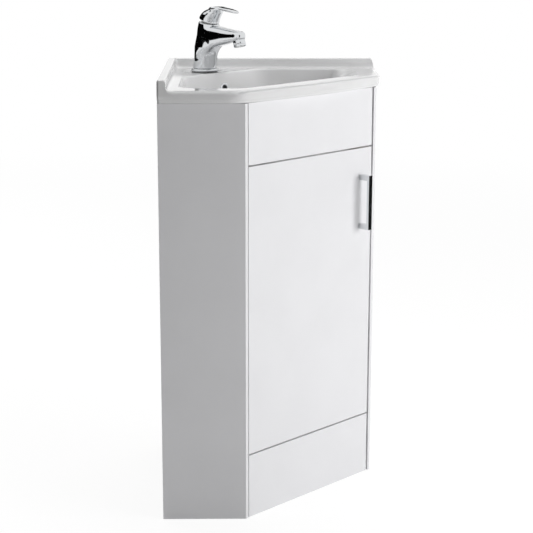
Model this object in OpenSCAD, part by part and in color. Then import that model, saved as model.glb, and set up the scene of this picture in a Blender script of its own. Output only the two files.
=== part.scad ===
// Corner vanity unit: a five-sided cabinet with a ceramic corner basin, a single-lever tap,
// a click-clack waste and a bottle trap.
// The origin is the corner of the room at floor level. The rear wall lies along +X, the left
// wall along -Y, and Z is up. Most front pieces are placed in the diagonal frame: u runs along
// the door from left to right, n is the distance from the room corner towards the room.

/* [Cabinet] */
// Run of the cabinet along each wall
wall_run = 407; // [395:1:450]
// Width of the two return panels, from the wall to the door
return_w = 155; // [148:1:170]
// Height of the cabinet, from the floor to the top edge of its boards
cabinet_h = 780; // [760:1:860]
// Thickness of the return panels, base, shelf and rails
board_t = 16; // [15:0.5:18]
// Thickness of the door, top fascia and plinth panel
front_t = 16; // [15:0.5:18]
// Width of the bevel on the front edge of a return panel
nose_w = 6.5; // [6:0.5:9]
// How far the front edge of a return panel is cut back behind its bevel
nose_relief = 15; // [14:0.5:18]
// How far the fronts sit behind the bevels
front_setback = 1.5; // [1:0.1:3]

/* [Fronts] */
// Height of the plinth panel
plinth_h = 122; // [115:1:135]
// Height of the fixed fascia under the basin
fascia_h = 111; // [106:1:120]
// Gap all round the door
door_gap = 3; // [2.8:0.1:3.5]
// Gap at the sides of the fixed fronts
fixed_gap = 3; // [2.5:0.1:3.5]

/* [Inside] */
// Height of the base board's top face
base_top = 121; // [110:1:121]
// Height of the shelf's top face
shelf_top = 345; // [300:5:400]
// How far the shelf's front edge stands behind the fronts
shelf_setback = 40; // [30:1:60]
// Clearance around the shelf
shelf_gap = 1; // [0.5:0.1:2]
// Height of the wall rails
rail_h = 70; // [60:1:80]
// Side of the square corner post
post_w = 32; // [28:1:36]
// Side of the square foot under the room corner
foot_w = 45; // [40:1:60]
// Height of the rail behind the fascia
fascia_rail_h = 44; // [36:1:48]
// Distance of the fascia rail's ends from the fascia's ends
fascia_rail_end = 25; // [22:1:35]
// Diameter of the wall screw holes
wall_hole_d = 6; // [5:0.5:8]
// Distance between the two wall screws of a rail
wall_hole_pitch = 200; // [150:1:220]

/* [Hinges] */
// Distance of the hinge pin from the door's edge
pin_inset = 12; // [11.5:0.1:13]
// Distance of the hinge pin behind the door's face
pin_depth = 10.5; // [10.2:0.1:11]
// Diameter of the hinge pin
pin_d = 4; // [3.5:0.1:4.4]
// Diameter of the hinge housing
housing_d = 35; // [34:0.5:36]
// Thickness of wood left in front of the housing
housing_skin = 5; // [4.5:0.1:5.2]
// Distance of each hinge from the end of the door
hinge_end = 85; // [70:1:120]
// Width of the hinge arm
arm_w = 12; // [10:0.5:14]
// Thickness of the hinge arm
arm_t = 2.5; // [2:0.1:3]

/* [Handle] */
// Distance between the handle's two arms, centre to centre
handle_pitch = 96; // [80:1:128]
// Side of the handle's square arms
handle_w = 10; // [8:0.5:12]
// Thickness of the handle's bar
handle_bar_t = 5; // [4:0.5:7]
// How far the handle stands off the door
handle_reach = 25; // [23:0.5:35]
// Distance of the handle from the door's right edge
handle_inset = 30; // [25:1:45]
// Distance of the handle's middle below the door's top edge
handle_drop = 104; // [85:1:140]

/* [Basin] */
// How far the basin overhangs the return panels
basin_overhang = 9; // [6:0.5:12]
// How far the middle of the basin's front edge stands in front of the bevels
basin_bow = 12.6; // [10:0.1:18]
// Radius of the basin's curved front edge
bow_r = 1500; // [1300:10:2000]
// Radius of the basin's two front corners
basin_corner_r = 65; // [50:1:75]
// Height of the basin's lip
lip_h = 22; // [20:0.5:26]
// Height of the upstands above the basin's deck
upstand_h = 18; // [16:0.5:24]
// Thickness of the upstands
upstand_t = 15; // [12:0.5:18]
// Radius of the scoop between upstand and deck
scoop_r = 15; // [10:0.5:15.5]
// Depth of the bowl
bowl_depth = 100; // [92:1:105]
// Thickness of the bowl's wall
bowl_wall = 10; // [8:0.5:10.5]
// Distance of the bowl from the walls
bowl_margin = 36; // [34:1:40]
// Distance of the bowl from the basin's outer edges
bowl_edge = 45; // [44:1:50]
// Distance of the bowl's rear side from the room corner, along the diagonal
bowl_rear_n = 156; // [150:1:160]
// Distance of the bowl's front side behind the front edges of the return panels
bowl_front_edge = 29.4; // [29:0.1:34]
// Radius of the bowl's corners
bowl_r = 45; // [40:1:48]
// Thickness of the sealant bead between cabinet and basin
seal_t = 1; // [0.8:0.1:2]

/* [Waste] */
// How far the waste stands behind the middle of the bowl
waste_back = 7; // [0:1:12]
// Diameter of the waste hole in the basin
waste_hole_d = 46; // [45:0.5:48]
// Outer diameter of the waste's threaded tube
waste_d = 41.8; // [40:0.1:43]
// Diameter of the waste's flange
waste_flange_d = 64; // [62:0.5:68]
// Travel of the click-clack plug
plug_travel = 8; // [5:0.5:10]
// Length of the waste's tube below the bowl
waste_l = 85; // [80:1:100]
// Outer diameter of the trap's outlet pipe
pipe_d = 32; // [30:0.5:34]
// Distance of the overflow's centre below the deck
overflow_drop = 30; // [30:0.5:36]
// Diameter of the overflow hole
overflow_d = 15; // [14:0.5:16]

/* [Tap] */
// Distance of the tap from the room corner, along the diagonal
tap_n = 107; // [104:1:110]
// Diameter of the tap hole
tap_hole_d = 35; // [33:0.5:36]
// Diameter of the tap's foot
tap_foot_d = 54; // [52:0.5:58]
// Diameter of the tap's body at its lower end
tap_low_d = 47; // [45:0.5:49]
// Diameter of the tap's body at its upper end
tap_top_d = 41; // [40.5:0.1:42]
// Length of the tap's body along its leaning axis
tap_body_l = 95; // [92:0.5:105]
// Forward lean of the tap's body
tap_lean = 8; // [4:0.5:10]
// Reach of the spout, from the foot's centre to the outlet
spout_reach = 95; // [90:1:120]
// Height of the spout's end above the deck
spout_h = 66; // [60:1:70]
// Diameter of the spout's end
spout_d = 28; // [27:0.5:30]
// Length of the lever, from the tap's axis to its tip
lever_l = 76; // [65:1:85]

/* [Hidden] */

$fn = 64;
eps = 0.1;              // overshoot of a cut
fit = 0.05;             // radial clearance of a pin or disc in its bore
slack = 0.3;            // clearance between faces that move past each other
far = 900;              // longer than the whole unit
diag_k = sqrt(0.5);     // cosine of 45 degrees

// Colours
front_white = "#ECECEE";
board_white = "#E2E2E0";
porcelain = "#F4F4F2";
chrome = "#C9CDD1";
zinc = "#B4B7BA";
black_rubber = "#2A2A2C";
trap_white = "#EFEFEA";
pine = "#D9C19A";
nylon = "#DADAD2";

// Plan of the cabinet
inner = wall_run - board_t;                         // inner face of a return panel
half_front = (wall_run - return_w) * diag_k;        // half the width between the front corners
nose_n = (wall_run + return_w) * diag_k;            // the bevels' distance from the room corner
front_n = nose_n - front_setback;                   // faces of door, fascia and plinth
back_n = front_n - front_t;                         // their rear faces
door_half = half_front - nose_w - door_gap;
fixed_half = half_front - nose_w - fixed_gap;
corner_x = back_n / diag_k - inner;                 // where inner face and rear face planes meet
// Heights
door_z = plinth_h + door_gap;
fascia_z = cabinet_h - fascia_h;
door_h = fascia_z - door_gap - door_z;
base_z = base_top - board_t;
rail_top_z = cabinet_h - rail_h;
// Knock-down fittings
cam_d = 15;
cam_h = 12.5;
cam_set = 24;                                       // cam centre behind the joint
bolt_d = 6;
bolt_grip = 10;                                     // depth of a bolt in the board it enters
cam_first_x = 35;                                   // the base's cams along a return panel
cam_pitch = 70;
// Hinges
pin_u = -door_half + pin_inset;
pin_n = front_n - pin_depth;
hinge_z = [door_z + hinge_end, door_z + door_h - hinge_end];
housing_h = front_t - housing_skin;
housing_front = -(pin_depth - housing_skin);        // housing's floor, from the pin
housing_floor_t = 1;
door_back = front_t - pin_depth;                    // the door's rear face, from the pin
eye_r = pin_d / 2 + 2;
slot_half = arm_w / 2 + 2;
slot_right = 10;
flange_t = 1.4;
flange_half = 28;
flange_w = 22;
housing_screw_z = 22;
housing_screw_d = 3.5;
plate_t = 3;
plate_l = 50;
plate_half = 21;
plate_x = 74;                                       // rear end of a mounting plate
plate_screw_z = 15;
plate_screw_d = 5;
arm_bend = 20;                                      // how far the arm runs straight back
arm_knee_x = return_w - 27;
arm_y = -inner + plate_t + arm_t / 2;
// Handle
handle_u = door_half - handle_inset;
handle_z = door_z + door_h - handle_drop;
handle_screw_d = 4;
handle_grip = 12;                                   // depth of the screw in the handle
// Shelf pins
shelf_pin_d = 5;
shelf_pin_l = 18;
shelf_pin_depth = 9;
shelf_pin_x = [40, 110];
// Brackets
bracket_t = 2;
bracket_l = 35;
bracket_h = 20;
bracket_hole = 22;                                  // hole's distance from the bend
bracket_screw_d = 3.5;
bracket_z = [plinth_h / 2 - bracket_h / 2, cabinet_h - 12 - bracket_h];
screw_l = 12;
// Rail behind the fascia, and the door's stops
rail_drop = 1;                                      // the rail starts just above the fascia's foot
fascia_rail_half = fixed_half - fascia_rail_end;
fascia_screw_end = 35;                              // screw's distance from the rail's end
stop_u = door_half - 34;
stop_w = 34;
stop_h = 28;
bumper_d = 10;
bumper_t = 1.5;
// Basin
basin_run = wall_run + basin_overhang;
basin_z = cabinet_h + seal_t;
basin_top = basin_z + lip_h;
bow_n = nose_n + basin_bow;
bowl_far = basin_run - bowl_edge;
bowl_rear = bowl_rear_n / diag_k;
bowl_front_n = nose_n - bowl_front_edge;             // the bowl's front side, from the room corner
bowl_mid_n = (bowl_rear_n + bowl_front_n) / 2;
bowl_front = bowl_front_n / diag_k;
bowl_mid_depth = 0.68 * bowl_depth;
bowl_mid_inset = 17;
bowl_floor_r = 42;
bowl_floor_u = 55;
bowl_z = basin_top - bowl_depth;
skin = 0.01;                                        // thickness of a slice inside a hull
boss_r = 36;
boss_h = 28;
boss_z = bowl_z - boss_h;
duct_half = 14;
duct_wall = 7;
duct_rear_n = bowl_rear_n - 14;
duct_depth = 11;
duct_z = boss_z + 8;
duct_h = 9;
overflow_in = 22;                                   // the overflow's bore, into the duct
overflow_out = 18;                                  // and out of the bowl's sloping wall
ring_lip = 1.6;
ring_wall = 3.25;
// Waste
waste_n = bowl_mid_n - waste_back;
flange_top_t = 2.5;
gasket_t = 1.5;
waste_wall = 2.4;
spider_z = bowl_z - 12;
spindle_d = 8;
spindle_foot = spider_z - plug_travel - 2;           // still guided when the plug is up
waste_seal_t = 5;
backnut_h = 12;
waste_foot = bowl_z - waste_l;
cap_t = 4;
cap_gap = 0.5;
// Trap
trap_nut_h = 22;
trap_tube_l = 92;
trap_tube_r = pipe_d / 2 - 1;
trap_wall = 2.5;
trap_r = 29;
trap_top = waste_foot - 7;
trap_h = 82;
trap_cup_h = 56;
trap_cup_lap = 22;
trap_rib_h = 16;                                    // grip ribs of the cup and of the nuts
trap_rib_w = 5;
trap_rib_t = 3.5;
outlet_drop = 24;
outlet_z = trap_top - outlet_drop;
outlet_l = 88;
outlet_r = pipe_d / 2 + trap_wall + fit;
outlet_nut_h = 18;
// Tap
foot_t = 3.5;
tap_gasket_t = 1.5;
seat_d = 35;                                        // the cartridge's seat
seat_depth = 35;
seat_z = tap_body_l - seat_depth;
cartridge_neck_r = 14.5;
cartridge_top = tap_body_l + 3;
nut_z = tap_body_l - 4;
turret_r = 9;
turret_top = tap_body_l + 8;
turret_foot = tap_body_l - 11;
pivot_z = tap_body_l + 3;                           // the lever's pivot
stem_w = 8;
stem_top = tap_body_l + 18;
turret_pin_d = 3;
lever_rim_front = tap_body_l + 1;
lever_rim_rear = tap_body_l + 9;
lever_top = tap_body_l + 36;
lever_t = 5;
lever_tip_r = 8;
lever_root_x = 24;
lever_root_r = 11;
cavity_r = 16.5;
cavity_top = tap_body_l + 13;
inlet_d = 9;                                        // bore of the tapped hose inlets
inlet_depth = 14;
inlet_y = 8;
inlet_x = 5;
stud_d = 8;
stud_x = -11;
stud_depth = 14;
stud_l = 62;
stud_plate_t = 1.5;
stud_washer_t = 3;
stud_nut_h = 6.5;
shoe_r = 24;                                        // horseshoe washer and plate under the deck
shoe_x = 9;                                         // centre of their opening, which clears the hoses
shoe_open_r = 13.5;
aerator_r = 12;
aerator_h = 13;
aerator_thread_r = 10.9;
aerator_thread_h = 6;

// Point in plan from the diagonal coordinates
function plan(u, n) = [(u + n) * diag_k, (u - n) * diag_k];
// Corners of the bowl's outline, drawn in by inset
function bowl_left(inset) = [
    [bowl_margin + inset, bowl_margin + inset - bowl_rear - inset / diag_k],
    [bowl_margin + inset, inset - bowl_far],
    [bowl_front - inset / diag_k - bowl_far + inset, inset - bowl_far]
];
function swapped(points) = [for (p = points) [-p[1], -p[0]]];

// Diagonal frame: X along the door, Y back towards the room corner
module diagonal(u = 0, n = 0, z = 0) {
    rotate([0, 0, 45]) translate([u, -n, z]) children();
}
// Copies what stands at the left wall to the rear wall
module both_sides() {
    children();
    mirror([1, 1, 0]) children();
}
module other_side() {
    mirror([1, 1, 0]) children();
}
// A rounded bar between two points in plan
module bar(p, q, w) {
    v = q - p;
    translate(p) rotate([0, 0, atan2(v[1], v[0])]) translate([0, -w / 2]) square([norm(v), w]);
    translate(p) circle(d = w);
    translate(q) circle(d = w);
}
module ring(r_out, r_in, h) {
    difference() {
        cylinder(r = r_out, h = h);
        translate([0, 0, -eps]) cylinder(r = r_in, h = h + 2 * eps);
    }
}
// A pan-head screw along +Z: its head lies above the origin's plane, its shank below
module screw(d, l, head_d, head_h) {
    translate([0, 0, -l]) cylinder(d = d, h = l);
    difference() {
        cylinder(d = head_d, h = head_h);
        for (a = [0, 90]) rotate([0, 0, a])
            translate([-head_d / 4, -0.4, head_h / 2]) cube([head_d / 2, 0.8, head_h]);
    }
}

// ---- Knock-down fittings: X points into the board that holds the cam, Z out of its bore
module at_cams() {
    for (x = [cam_first_x, cam_first_x + cam_pitch])
        translate([x, -inner, base_z + board_t / 2]) rotate([180, 0, 90]) children();
    for (z = [rail_top_z, base_top]) {
        translate([board_t / 2, -inner, z + rail_h / 2]) rotate([90, 0, 90]) children();
        translate([board_t / 2, -post_w, z + rail_h / 2]) rotate([-90, 0, -90]) children();
    }
}
module cam() {
    difference() {
        translate([cam_set, 0, board_t / 2 - cam_h]) cylinder(d = cam_d, h = cam_h);
        rotate([0, 90, 0]) cylinder(d = bolt_d + 1.5, h = cam_set + 1);
        translate([cam_set - 4, -0.8, board_t / 2 - 2]) cube([8, 1.6, 2 + eps]);
        translate([cam_set - 0.8, -4, board_t / 2 - 2]) cube([1.6, 8, 2 + eps]);
    }
}
module cam_bolt() {
    rotate([0, 90, 0]) {
        translate([0, 0, -bolt_grip]) cylinder(d = bolt_d, h = bolt_grip + cam_set - 4);
        translate([0, 0, cam_set - 4]) cylinder(d = bolt_d + 1, h = 3);
    }
}
module cam_cuts() {
    translate([cam_set, 0, board_t / 2 - cam_h])
        cylinder(d = cam_d + 2 * fit, h = cam_h + eps);
    rotate([0, 90, 0]) translate([0, 0, -bolt_grip])
        cylinder(d = bolt_d + 2 * fit, h = bolt_grip + cam_set);
}
module cam_locks() {
    color(zinc) both_sides() at_cams() cam();
}
module cam_bolts() {
    color(zinc) both_sides() at_cams() cam_bolt();
}

// ---- Return panels
module return_panel() {
    nose = nose_w * diag_k;
    difference() {
        linear_extrude(cabinet_h) polygon([
            [0, -wall_run],
            [return_w, -wall_run],
            [return_w + nose, -wall_run + nose],
            [return_w - nose_relief, -inner],
            [0, -inner]
        ]);
        at_cams() cam_cuts();
        at_shelf_pins() shelf_pin(fit);
        at_plate_screws() plate_screw(fit);
        at_bracket_screws_side() bracket_screw(fit);
    }
}
module left_return_panel() {
    color(front_white) return_panel();
}
module right_return_panel() {
    color(front_white) difference() {
        other_side() linear_extrude(cabinet_h) polygon([
            [0, -wall_run],
            [return_w, -wall_run],
            [return_w + nose_w * diag_k, -wall_run + nose_w * diag_k],
            [return_w - nose_relief, -inner],
            [0, -inner]
        ]);
        other_side() at_cams() cam_cuts();
        other_side() at_shelf_pins() shelf_pin(fit);
        other_side() at_bracket_screws_side() bracket_screw(fit);
    }
}

// ---- Base, shelf, post, foot and wall rails
module five_sided(depth_n, reach, start, h) {
    front = depth_n / diag_k;
    linear_extrude(h) polygon([
        [start, -start],
        [start, -reach],
        [front - reach, -reach],
        [reach, reach - front],
        [reach, -start]
    ]);
}
module base_board() {
    color(board_white) difference() {
        translate([0, 0, base_z]) five_sided(back_n, inner, 0, board_t);
        both_sides() at_cams() cam_cuts();
    }
}
module shelf() {
    edge = post_w + shelf_gap;
    color(board_white) difference() {
        translate([0, 0, shelf_top - board_t])
            five_sided(back_n - shelf_setback, inner - shelf_gap, shelf_gap, board_t);
        translate([-eps, -edge, shelf_top - board_t - eps])
            cube([edge + eps, edge + eps, board_t + 2 * eps]);
    }
}
module at_shelf_pins() {
    for (x = shelf_pin_x)
        translate([x, -inner, shelf_top - board_t - shelf_pin_d / 2]) rotate([-90, 0, 0]) children();
}
module shelf_pin(grow = 0) {
    translate([0, 0, -shelf_pin_depth])
        cylinder(r = shelf_pin_d / 2 + grow, h = shelf_pin_l);
}
module shelf_pins() {
    color(zinc) both_sides() at_shelf_pins() shelf_pin();
}
module corner_post() {
    color(pine) difference() {
        translate([0, -post_w, base_top]) cube([post_w, post_w, cabinet_h - base_top]);
        both_sides() at_cams() cam_cuts();
    }
}
module corner_foot() {
    color(pine) translate([0, -foot_w, 0]) cube([foot_w, foot_w, base_z]);
}
module wall_rail(z) {
    middle = (inner + post_w) / 2;
    difference() {
        translate([0, -inner, z]) cube([board_t, inner - post_w, rail_h]);
        at_cams() cam_cuts();
        for (y = [-middle - wall_hole_pitch / 2, -middle + wall_hole_pitch / 2])
            translate([-eps, y, z + rail_h / 2]) rotate([0, 90, 0])
                cylinder(d = wall_hole_d, h = board_t + 2 * eps);
    }
}
module left_rail_top() {
    color(board_white) wall_rail(rail_top_z);
}
module left_rail_low() {
    color(board_white) wall_rail(base_top);
}
module rear_rail_top() {
    color(board_white) other_side() wall_rail(rail_top_z);
}
module rear_rail_low() {
    color(board_white) other_side() wall_rail(base_top);
}

// ---- Fixed fronts, their rail and brackets
module front_board(half, z, h) {
    diagonal(-half, front_n, z) cube([2 * half, front_t, h]);
}
module top_fascia() {
    color(front_white) difference() {
        front_board(fixed_half, fascia_z, fascia_h);
        at_bracket_screws_front() bracket_screw(fit);
        at_fascia_screws() fascia_screw(fit);
    }
}
module plinth_panel() {
    color(front_white) difference() {
        front_board(fixed_half, 0, plinth_h);
        at_bracket_screws_front() bracket_screw(fit);
    }
}
module fascia_rail() {
    color(board_white) difference() {
        diagonal(-fascia_rail_half, back_n, fascia_z + rail_drop)
            cube([2 * fascia_rail_half, board_t, fascia_rail_h]);
        at_fascia_screws() fascia_screw(fit);
    }
}
module at_fascia_screws() {
    for (side = [-1, 1])
        diagonal(side * (fascia_rail_half - fascia_screw_end), back_n - board_t,
                fascia_z + rail_drop + fascia_rail_h / 2)
            rotate([-90, 0, 0]) children();
}
module fascia_screw(grow = 0) {
    if (grow == 0) screw(4, board_t + 9, 8, 2.5);
    else translate([0, 0, -board_t - 9]) cylinder(r = 2 + grow, h = board_t + 9 + eps);
}
module fascia_screws() {
    color(zinc) at_fascia_screws() fascia_screw();
}
// A bracket bent to 135 degrees: one leg on the return panel, one on the front's rear face
module bracket() {
    difference() {
        union() {
            translate([corner_x - bracket_l, -inner, 0]) cube([bracket_l, bracket_t, bracket_h]);
            bend = plan_u(corner_x, -inner);
            diagonal(bend, back_n, 0) cube([bracket_l, bracket_t, bracket_h]);
        }
        bracket_hole_side() bracket_screw(fit);
        bracket_hole_front() bracket_screw(fit);
    }
}
function plan_u(x, y) = (x + y) * diag_k;
module bracket_hole_side() {
    translate([corner_x - bracket_hole - 4, -inner + bracket_t, bracket_h / 2])
        rotate([-90, 0, 0]) children();
}
module bracket_hole_front() {
    diagonal(plan_u(corner_x, -inner) + bracket_hole, back_n - bracket_t, bracket_h / 2)
        rotate([-90, 0, 0]) children();
}
module at_bracket_screws_side() {
    for (z = bracket_z) translate([0, 0, z]) bracket_hole_side() children();
}
module at_bracket_screws_front() {
    both_sides() for (z = bracket_z) translate([0, 0, z]) bracket_hole_front() children();
}
module bracket_screw(grow = 0) {
    if (grow == 0) screw(bracket_screw_d, screw_l, 7, 2);
    else translate([0, 0, -screw_l]) cylinder(r = bracket_screw_d / 2 + grow, h = screw_l + eps);
}
module front_brackets() {
    color(zinc) both_sides() for (z = bracket_z) translate([0, 0, z]) bracket();
}
module bracket_screws() {
    color(zinc) {
        both_sides() at_bracket_screws_side() bracket_screw();
        at_bracket_screws_front() bracket_screw();
    }
}

// ---- Stops behind the door's right edge
module at_stops() {
    diagonal(stop_u, back_n - bumper_t, fascia_z + rail_drop - stop_h) children();
    diagonal(stop_u, back_n - bumper_t, base_top) children();
}
module door_stops() {
    color(pine) at_stops() cube([stop_w, board_t, stop_h]);
}
module door_bumpers() {
    color(nylon) {
        diagonal(stop_u + stop_w / 2, back_n, door_z + door_h - bumper_d)
            rotate([-90, 0, 0]) cylinder(d = bumper_d, h = bumper_t);
        diagonal(stop_u + stop_w / 2, back_n, door_z + bumper_d)
            rotate([-90, 0, 0]) cylinder(d = bumper_d, h = bumper_t);
    }
}

// ---- Door
module at_hinges() {
    for (z = hinge_z) diagonal(pin_u, pin_n, z) children();
}
module door() {
    color(front_white) difference() {
        diagonal(-door_half, front_n, door_z) cube([2 * door_half, front_t, door_h]);
        at_hinges() translate([0, housing_front, 0]) rotate([-90, 0, 0])
            cylinder(d = housing_d, h = housing_h + eps);
        at_housing_screws() translate([0, 0, -8])
            cylinder(r = housing_screw_d / 2 + fit, h = 8 + eps);
        at_handle_screws() translate([0, 0, -front_t - eps])
            cylinder(r = handle_screw_d / 2 + fit, h = front_t + 2 * eps);
    }
}
// The housing fills the pocket; its slot is open to the door's edge and rear face
module hinge_housing() {
    difference() {
        union() {
            intersection() {
                translate([0, housing_front, 0]) rotate([-90, 0, 0])
                    cylinder(r = housing_d / 2 - fit, h = housing_h);
                translate([-pin_inset + 0.5, -far / 2, -far / 2]) cube(far);
            }
            translate([-flange_w / 2, door_back, -flange_half])
                cube([flange_w, flange_t, 2 * flange_half]);
        }
        translate([-pin_inset - eps, housing_front + housing_floor_t, -slot_half])
            cube([pin_inset + slot_right, far, 2 * slot_half]);
        translate([0, 0, -slot_half - 7]) cylinder(r = pin_d / 2 + 0.01, h = 2 * (slot_half + 7));
        for (z = [-housing_screw_z, housing_screw_z])
            translate([0, door_back - eps, z]) rotate([-90, 0, 0])
                cylinder(r = housing_screw_d / 2 + fit, h = flange_t + 2 * eps);
    }
}
module hinge_housings() {
    color(zinc) at_hinges() hinge_housing();
}
module hinge_pins() {
    color(zinc) at_hinges() translate([0, 0, -slot_half - 7])
        cylinder(d = pin_d, h = 2 * (slot_half + 7));
}
module at_housing_screws() {
    at_hinges() for (z = [-housing_screw_z, housing_screw_z])
        translate([0, door_back, z]) rotate([-90, 0, 0]) children();
}
module housing_screws() {
    color(zinc) at_housing_screws() translate([0, 0, flange_t])
        screw(housing_screw_d, flange_t + 8, 6.5, 1.8);
}

// ---- Hinge arms and their mounting plates, on the left return panel
module arm_outline() {
    pin = plan(pin_u, pin_n);
    knee = plan(pin_u, pin_n - arm_bend);
    heel = [arm_knee_x, arm_y];
    tail = [plate_x + 2, arm_y];
    difference() {
        union() {
            translate(pin) circle(r = eye_r);
            bar(pin, knee, arm_t);
            bar(knee, heel, arm_t);
            bar(heel, tail, arm_t);
        }
        translate(pin) circle(r = pin_d / 2 + fit);
    }
}
module hinge_arms() {
    color(zinc) difference() {
        for (z = hinge_z) translate([0, 0, z - arm_w / 2]) linear_extrude(arm_w) arm_outline();
        at_arm_screws() translate([0, 0, -far / 2]) cylinder(r = 2 + fit, h = far);
    }
}
module at_arm_screws() {
    for (z = hinge_z) translate([plate_x + plate_l / 2, -inner + plate_t + arm_t, z])
        rotate([-90, 0, 0]) children();
}
module hinge_plates() {
    color(zinc) difference() {
        for (z = hinge_z) translate([plate_x, -inner, z - plate_half])
            cube([plate_l, plate_t, 2 * plate_half]);
        at_arm_screws() translate([0, 0, -far / 2]) cylinder(r = 2 + fit, h = far);
        at_plate_screws() plate_screw(fit);
    }
}
module arm_screws() {
    color(zinc) at_arm_screws() screw(4, arm_t + plate_t, 8, 2.5);
}
module at_plate_screws() {
    for (z = hinge_z) for (dz = [-plate_screw_z, plate_screw_z])
        translate([plate_x + plate_l / 2, -inner + plate_t, z + dz]) rotate([-90, 0, 0]) children();
}
module plate_screw(grow = 0) {
    if (grow == 0) screw(plate_screw_d, plate_t + 10, 8.5, 2);
    else translate([0, 0, -plate_t - 10])
        cylinder(r = plate_screw_d / 2 + grow, h = plate_t + 10 + eps);
}
module plate_screws() {
    color(zinc) at_plate_screws() plate_screw();
}

// ---- Handle: a flat bar on two square arms
module door_handle() {
    color(chrome) difference() {
        diagonal(handle_u - handle_w / 2, front_n + handle_reach, handle_z) {
            translate([0, 0, -handle_pitch / 2 - handle_w / 2])
                cube([handle_w, handle_bar_t, handle_pitch + handle_w]);
            for (z = [-handle_pitch / 2, handle_pitch / 2])
                translate([0, 0, z - handle_w / 2]) cube([handle_w, handle_reach, handle_w]);
        }
        at_handle_screws() translate([0, 0, -front_t - handle_grip])
            cylinder(r = handle_screw_d / 2 + fit, h = handle_grip + eps);
    }
}
module at_handle_screws() {
    for (z = [-handle_pitch / 2, handle_pitch / 2])
        diagonal(handle_u, back_n, handle_z + z) rotate([-90, 0, 0]) children();
}
module handle_screws() {
    color(zinc) at_handle_screws() screw(handle_screw_d, front_t + handle_grip, 8, 2.2);
}

// ---- Basin
module basin_outline() {
    offset(r = basin_corner_r) offset(delta = -basin_corner_r) intersection() {
        translate([-2 * basin_corner_r, -basin_run])
            square([basin_run + 2 * basin_corner_r, basin_run + 2 * basin_corner_r]);
        diagonal(0, bow_n - bow_r) circle(r = bow_r, $fn = 360);
    }
}
module basin_slab() {
    translate([0, 0, basin_z]) linear_extrude(lip_h) intersection() {
        basin_outline();
        translate([0, -basin_run]) square(basin_run);
    }
}
// One slice of the bowl at a depth below the deck
module bowl_slice(inset, depth) {
    for (side = [bowl_left(inset + bowl_r), swapped(bowl_left(inset + bowl_r))])
        for (p = side) translate([p[0], p[1], basin_top - depth])
            cylinder(r = bowl_r, h = skin, $fn = 32);
}
module bowl_floor(grow, depth) {
    for (u = [-bowl_floor_u, bowl_floor_u])
        diagonal(u, bowl_mid_n, basin_top - depth)
            cylinder(r = bowl_floor_r + grow, h = skin, $fn = 32);
}
module bowl_hollow() {
    hull() {
        bowl_slice(0, -eps);
        bowl_slice(bowl_mid_inset, bowl_mid_depth);
        bowl_floor(0, bowl_depth);
    }
}
module bowl_shell() {
    hull() {
        bowl_slice(-bowl_wall + 4, lip_h - 1);
        bowl_slice(bowl_mid_inset - bowl_wall, bowl_mid_depth);
        bowl_floor(bowl_wall, bowl_depth + bowl_wall);
    }
}
module upstand() {
    translate([0, 0, basin_top]) rotate([90, 0, 0]) linear_extrude(basin_run) {
        square([upstand_t, upstand_h]);
        difference() {
            translate([upstand_t, 0]) square(scoop_r);
            translate([upstand_t + scoop_r, scoop_r]) circle(r = scoop_r);
        }
    }
}
module at_waste() {
    diagonal(0, waste_n, 0) children();
}
// The overflow's duct runs down behind the bowl and under it to the waste hole
module duct(grow) {
    half = duct_half + grow;
    diagonal(-half, duct_rear_n + duct_depth + grow, duct_z - grow)
        cube([2 * half, duct_depth + 2 * grow, basin_z - duct_z + 2 * grow - (grow == 0 ? 2 : 0)]);
    diagonal(-half, waste_n, duct_z - grow)
        cube([2 * half, waste_n - duct_rear_n + grow, duct_h + 2 * grow]);
}

// The basin is one casting, kept as two nodes that meet at the deck's underside. This one is the
// deck with its upstands and lip.
module basin() {
    color(porcelain) difference() {
        union() {
            basin_slab();
            both_sides() upstand();
        }
        bowl_hollow();
        at_tap() translate([0, 0, -lip_h - eps]) cylinder(d = tap_hole_d, h = far);
    }
}

// The bowl, with its overflow duct and the boss round the waste hole
module basin_bowl() {
    color(porcelain) difference() {
        intersection() {
            union() {
                bowl_shell();
                duct(duct_wall);
                at_waste() translate([0, 0, boss_z]) cylinder(r = boss_r, h = boss_h);
            }
            translate([-basin_run, -2 * basin_run, basin_z - basin_run])
                cube([3 * basin_run, 3 * basin_run, basin_run]);
        }
        bowl_hollow();
        duct(0);
        at_waste() translate([0, 0, boss_z - eps]) cylinder(d = waste_hole_d, h = far);
        at_overflow() translate([0, 0, -overflow_in])
            cylinder(d = overflow_d, h = overflow_in + overflow_out);
    }
}
// The bowl's rear wall leans forward as it goes down; the overflow lies square to it
overflow_slope = atan2(bowl_mid_inset, bowl_mid_depth);
overflow_n = bowl_rear_n + overflow_drop * tan(overflow_slope);
module at_overflow() {
    diagonal(0, overflow_n, basin_top - overflow_drop) rotate([90 - overflow_slope, 0, 0]) children();
}
module overflow_ring() {
    color(chrome) at_overflow() {
        translate([0, 0, fit]) ring(overflow_d / 2 + ring_wall, overflow_d / 2 - 1, ring_lip);
        translate([0, 0, -6]) ring(overflow_d / 2 - fit, overflow_d / 2 - 1, 6 + ring_lip / 2);
    }
}
module basin_seal() {
    bead = 5;
    color(nylon) translate([0, 0, cabinet_h]) linear_extrude(seal_t) {
        both_sides() translate([0, -wall_run + board_t / 2 - bead / 2])
            square([return_w - nose_relief, bead]);
        diagonal(-fixed_half, front_n - front_t / 2 + bead / 2) square([2 * fixed_half, bead]);
        both_sides() translate([board_t / 2 - bead / 2, -inner]) square([bead, inner]);
    }
}

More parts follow.
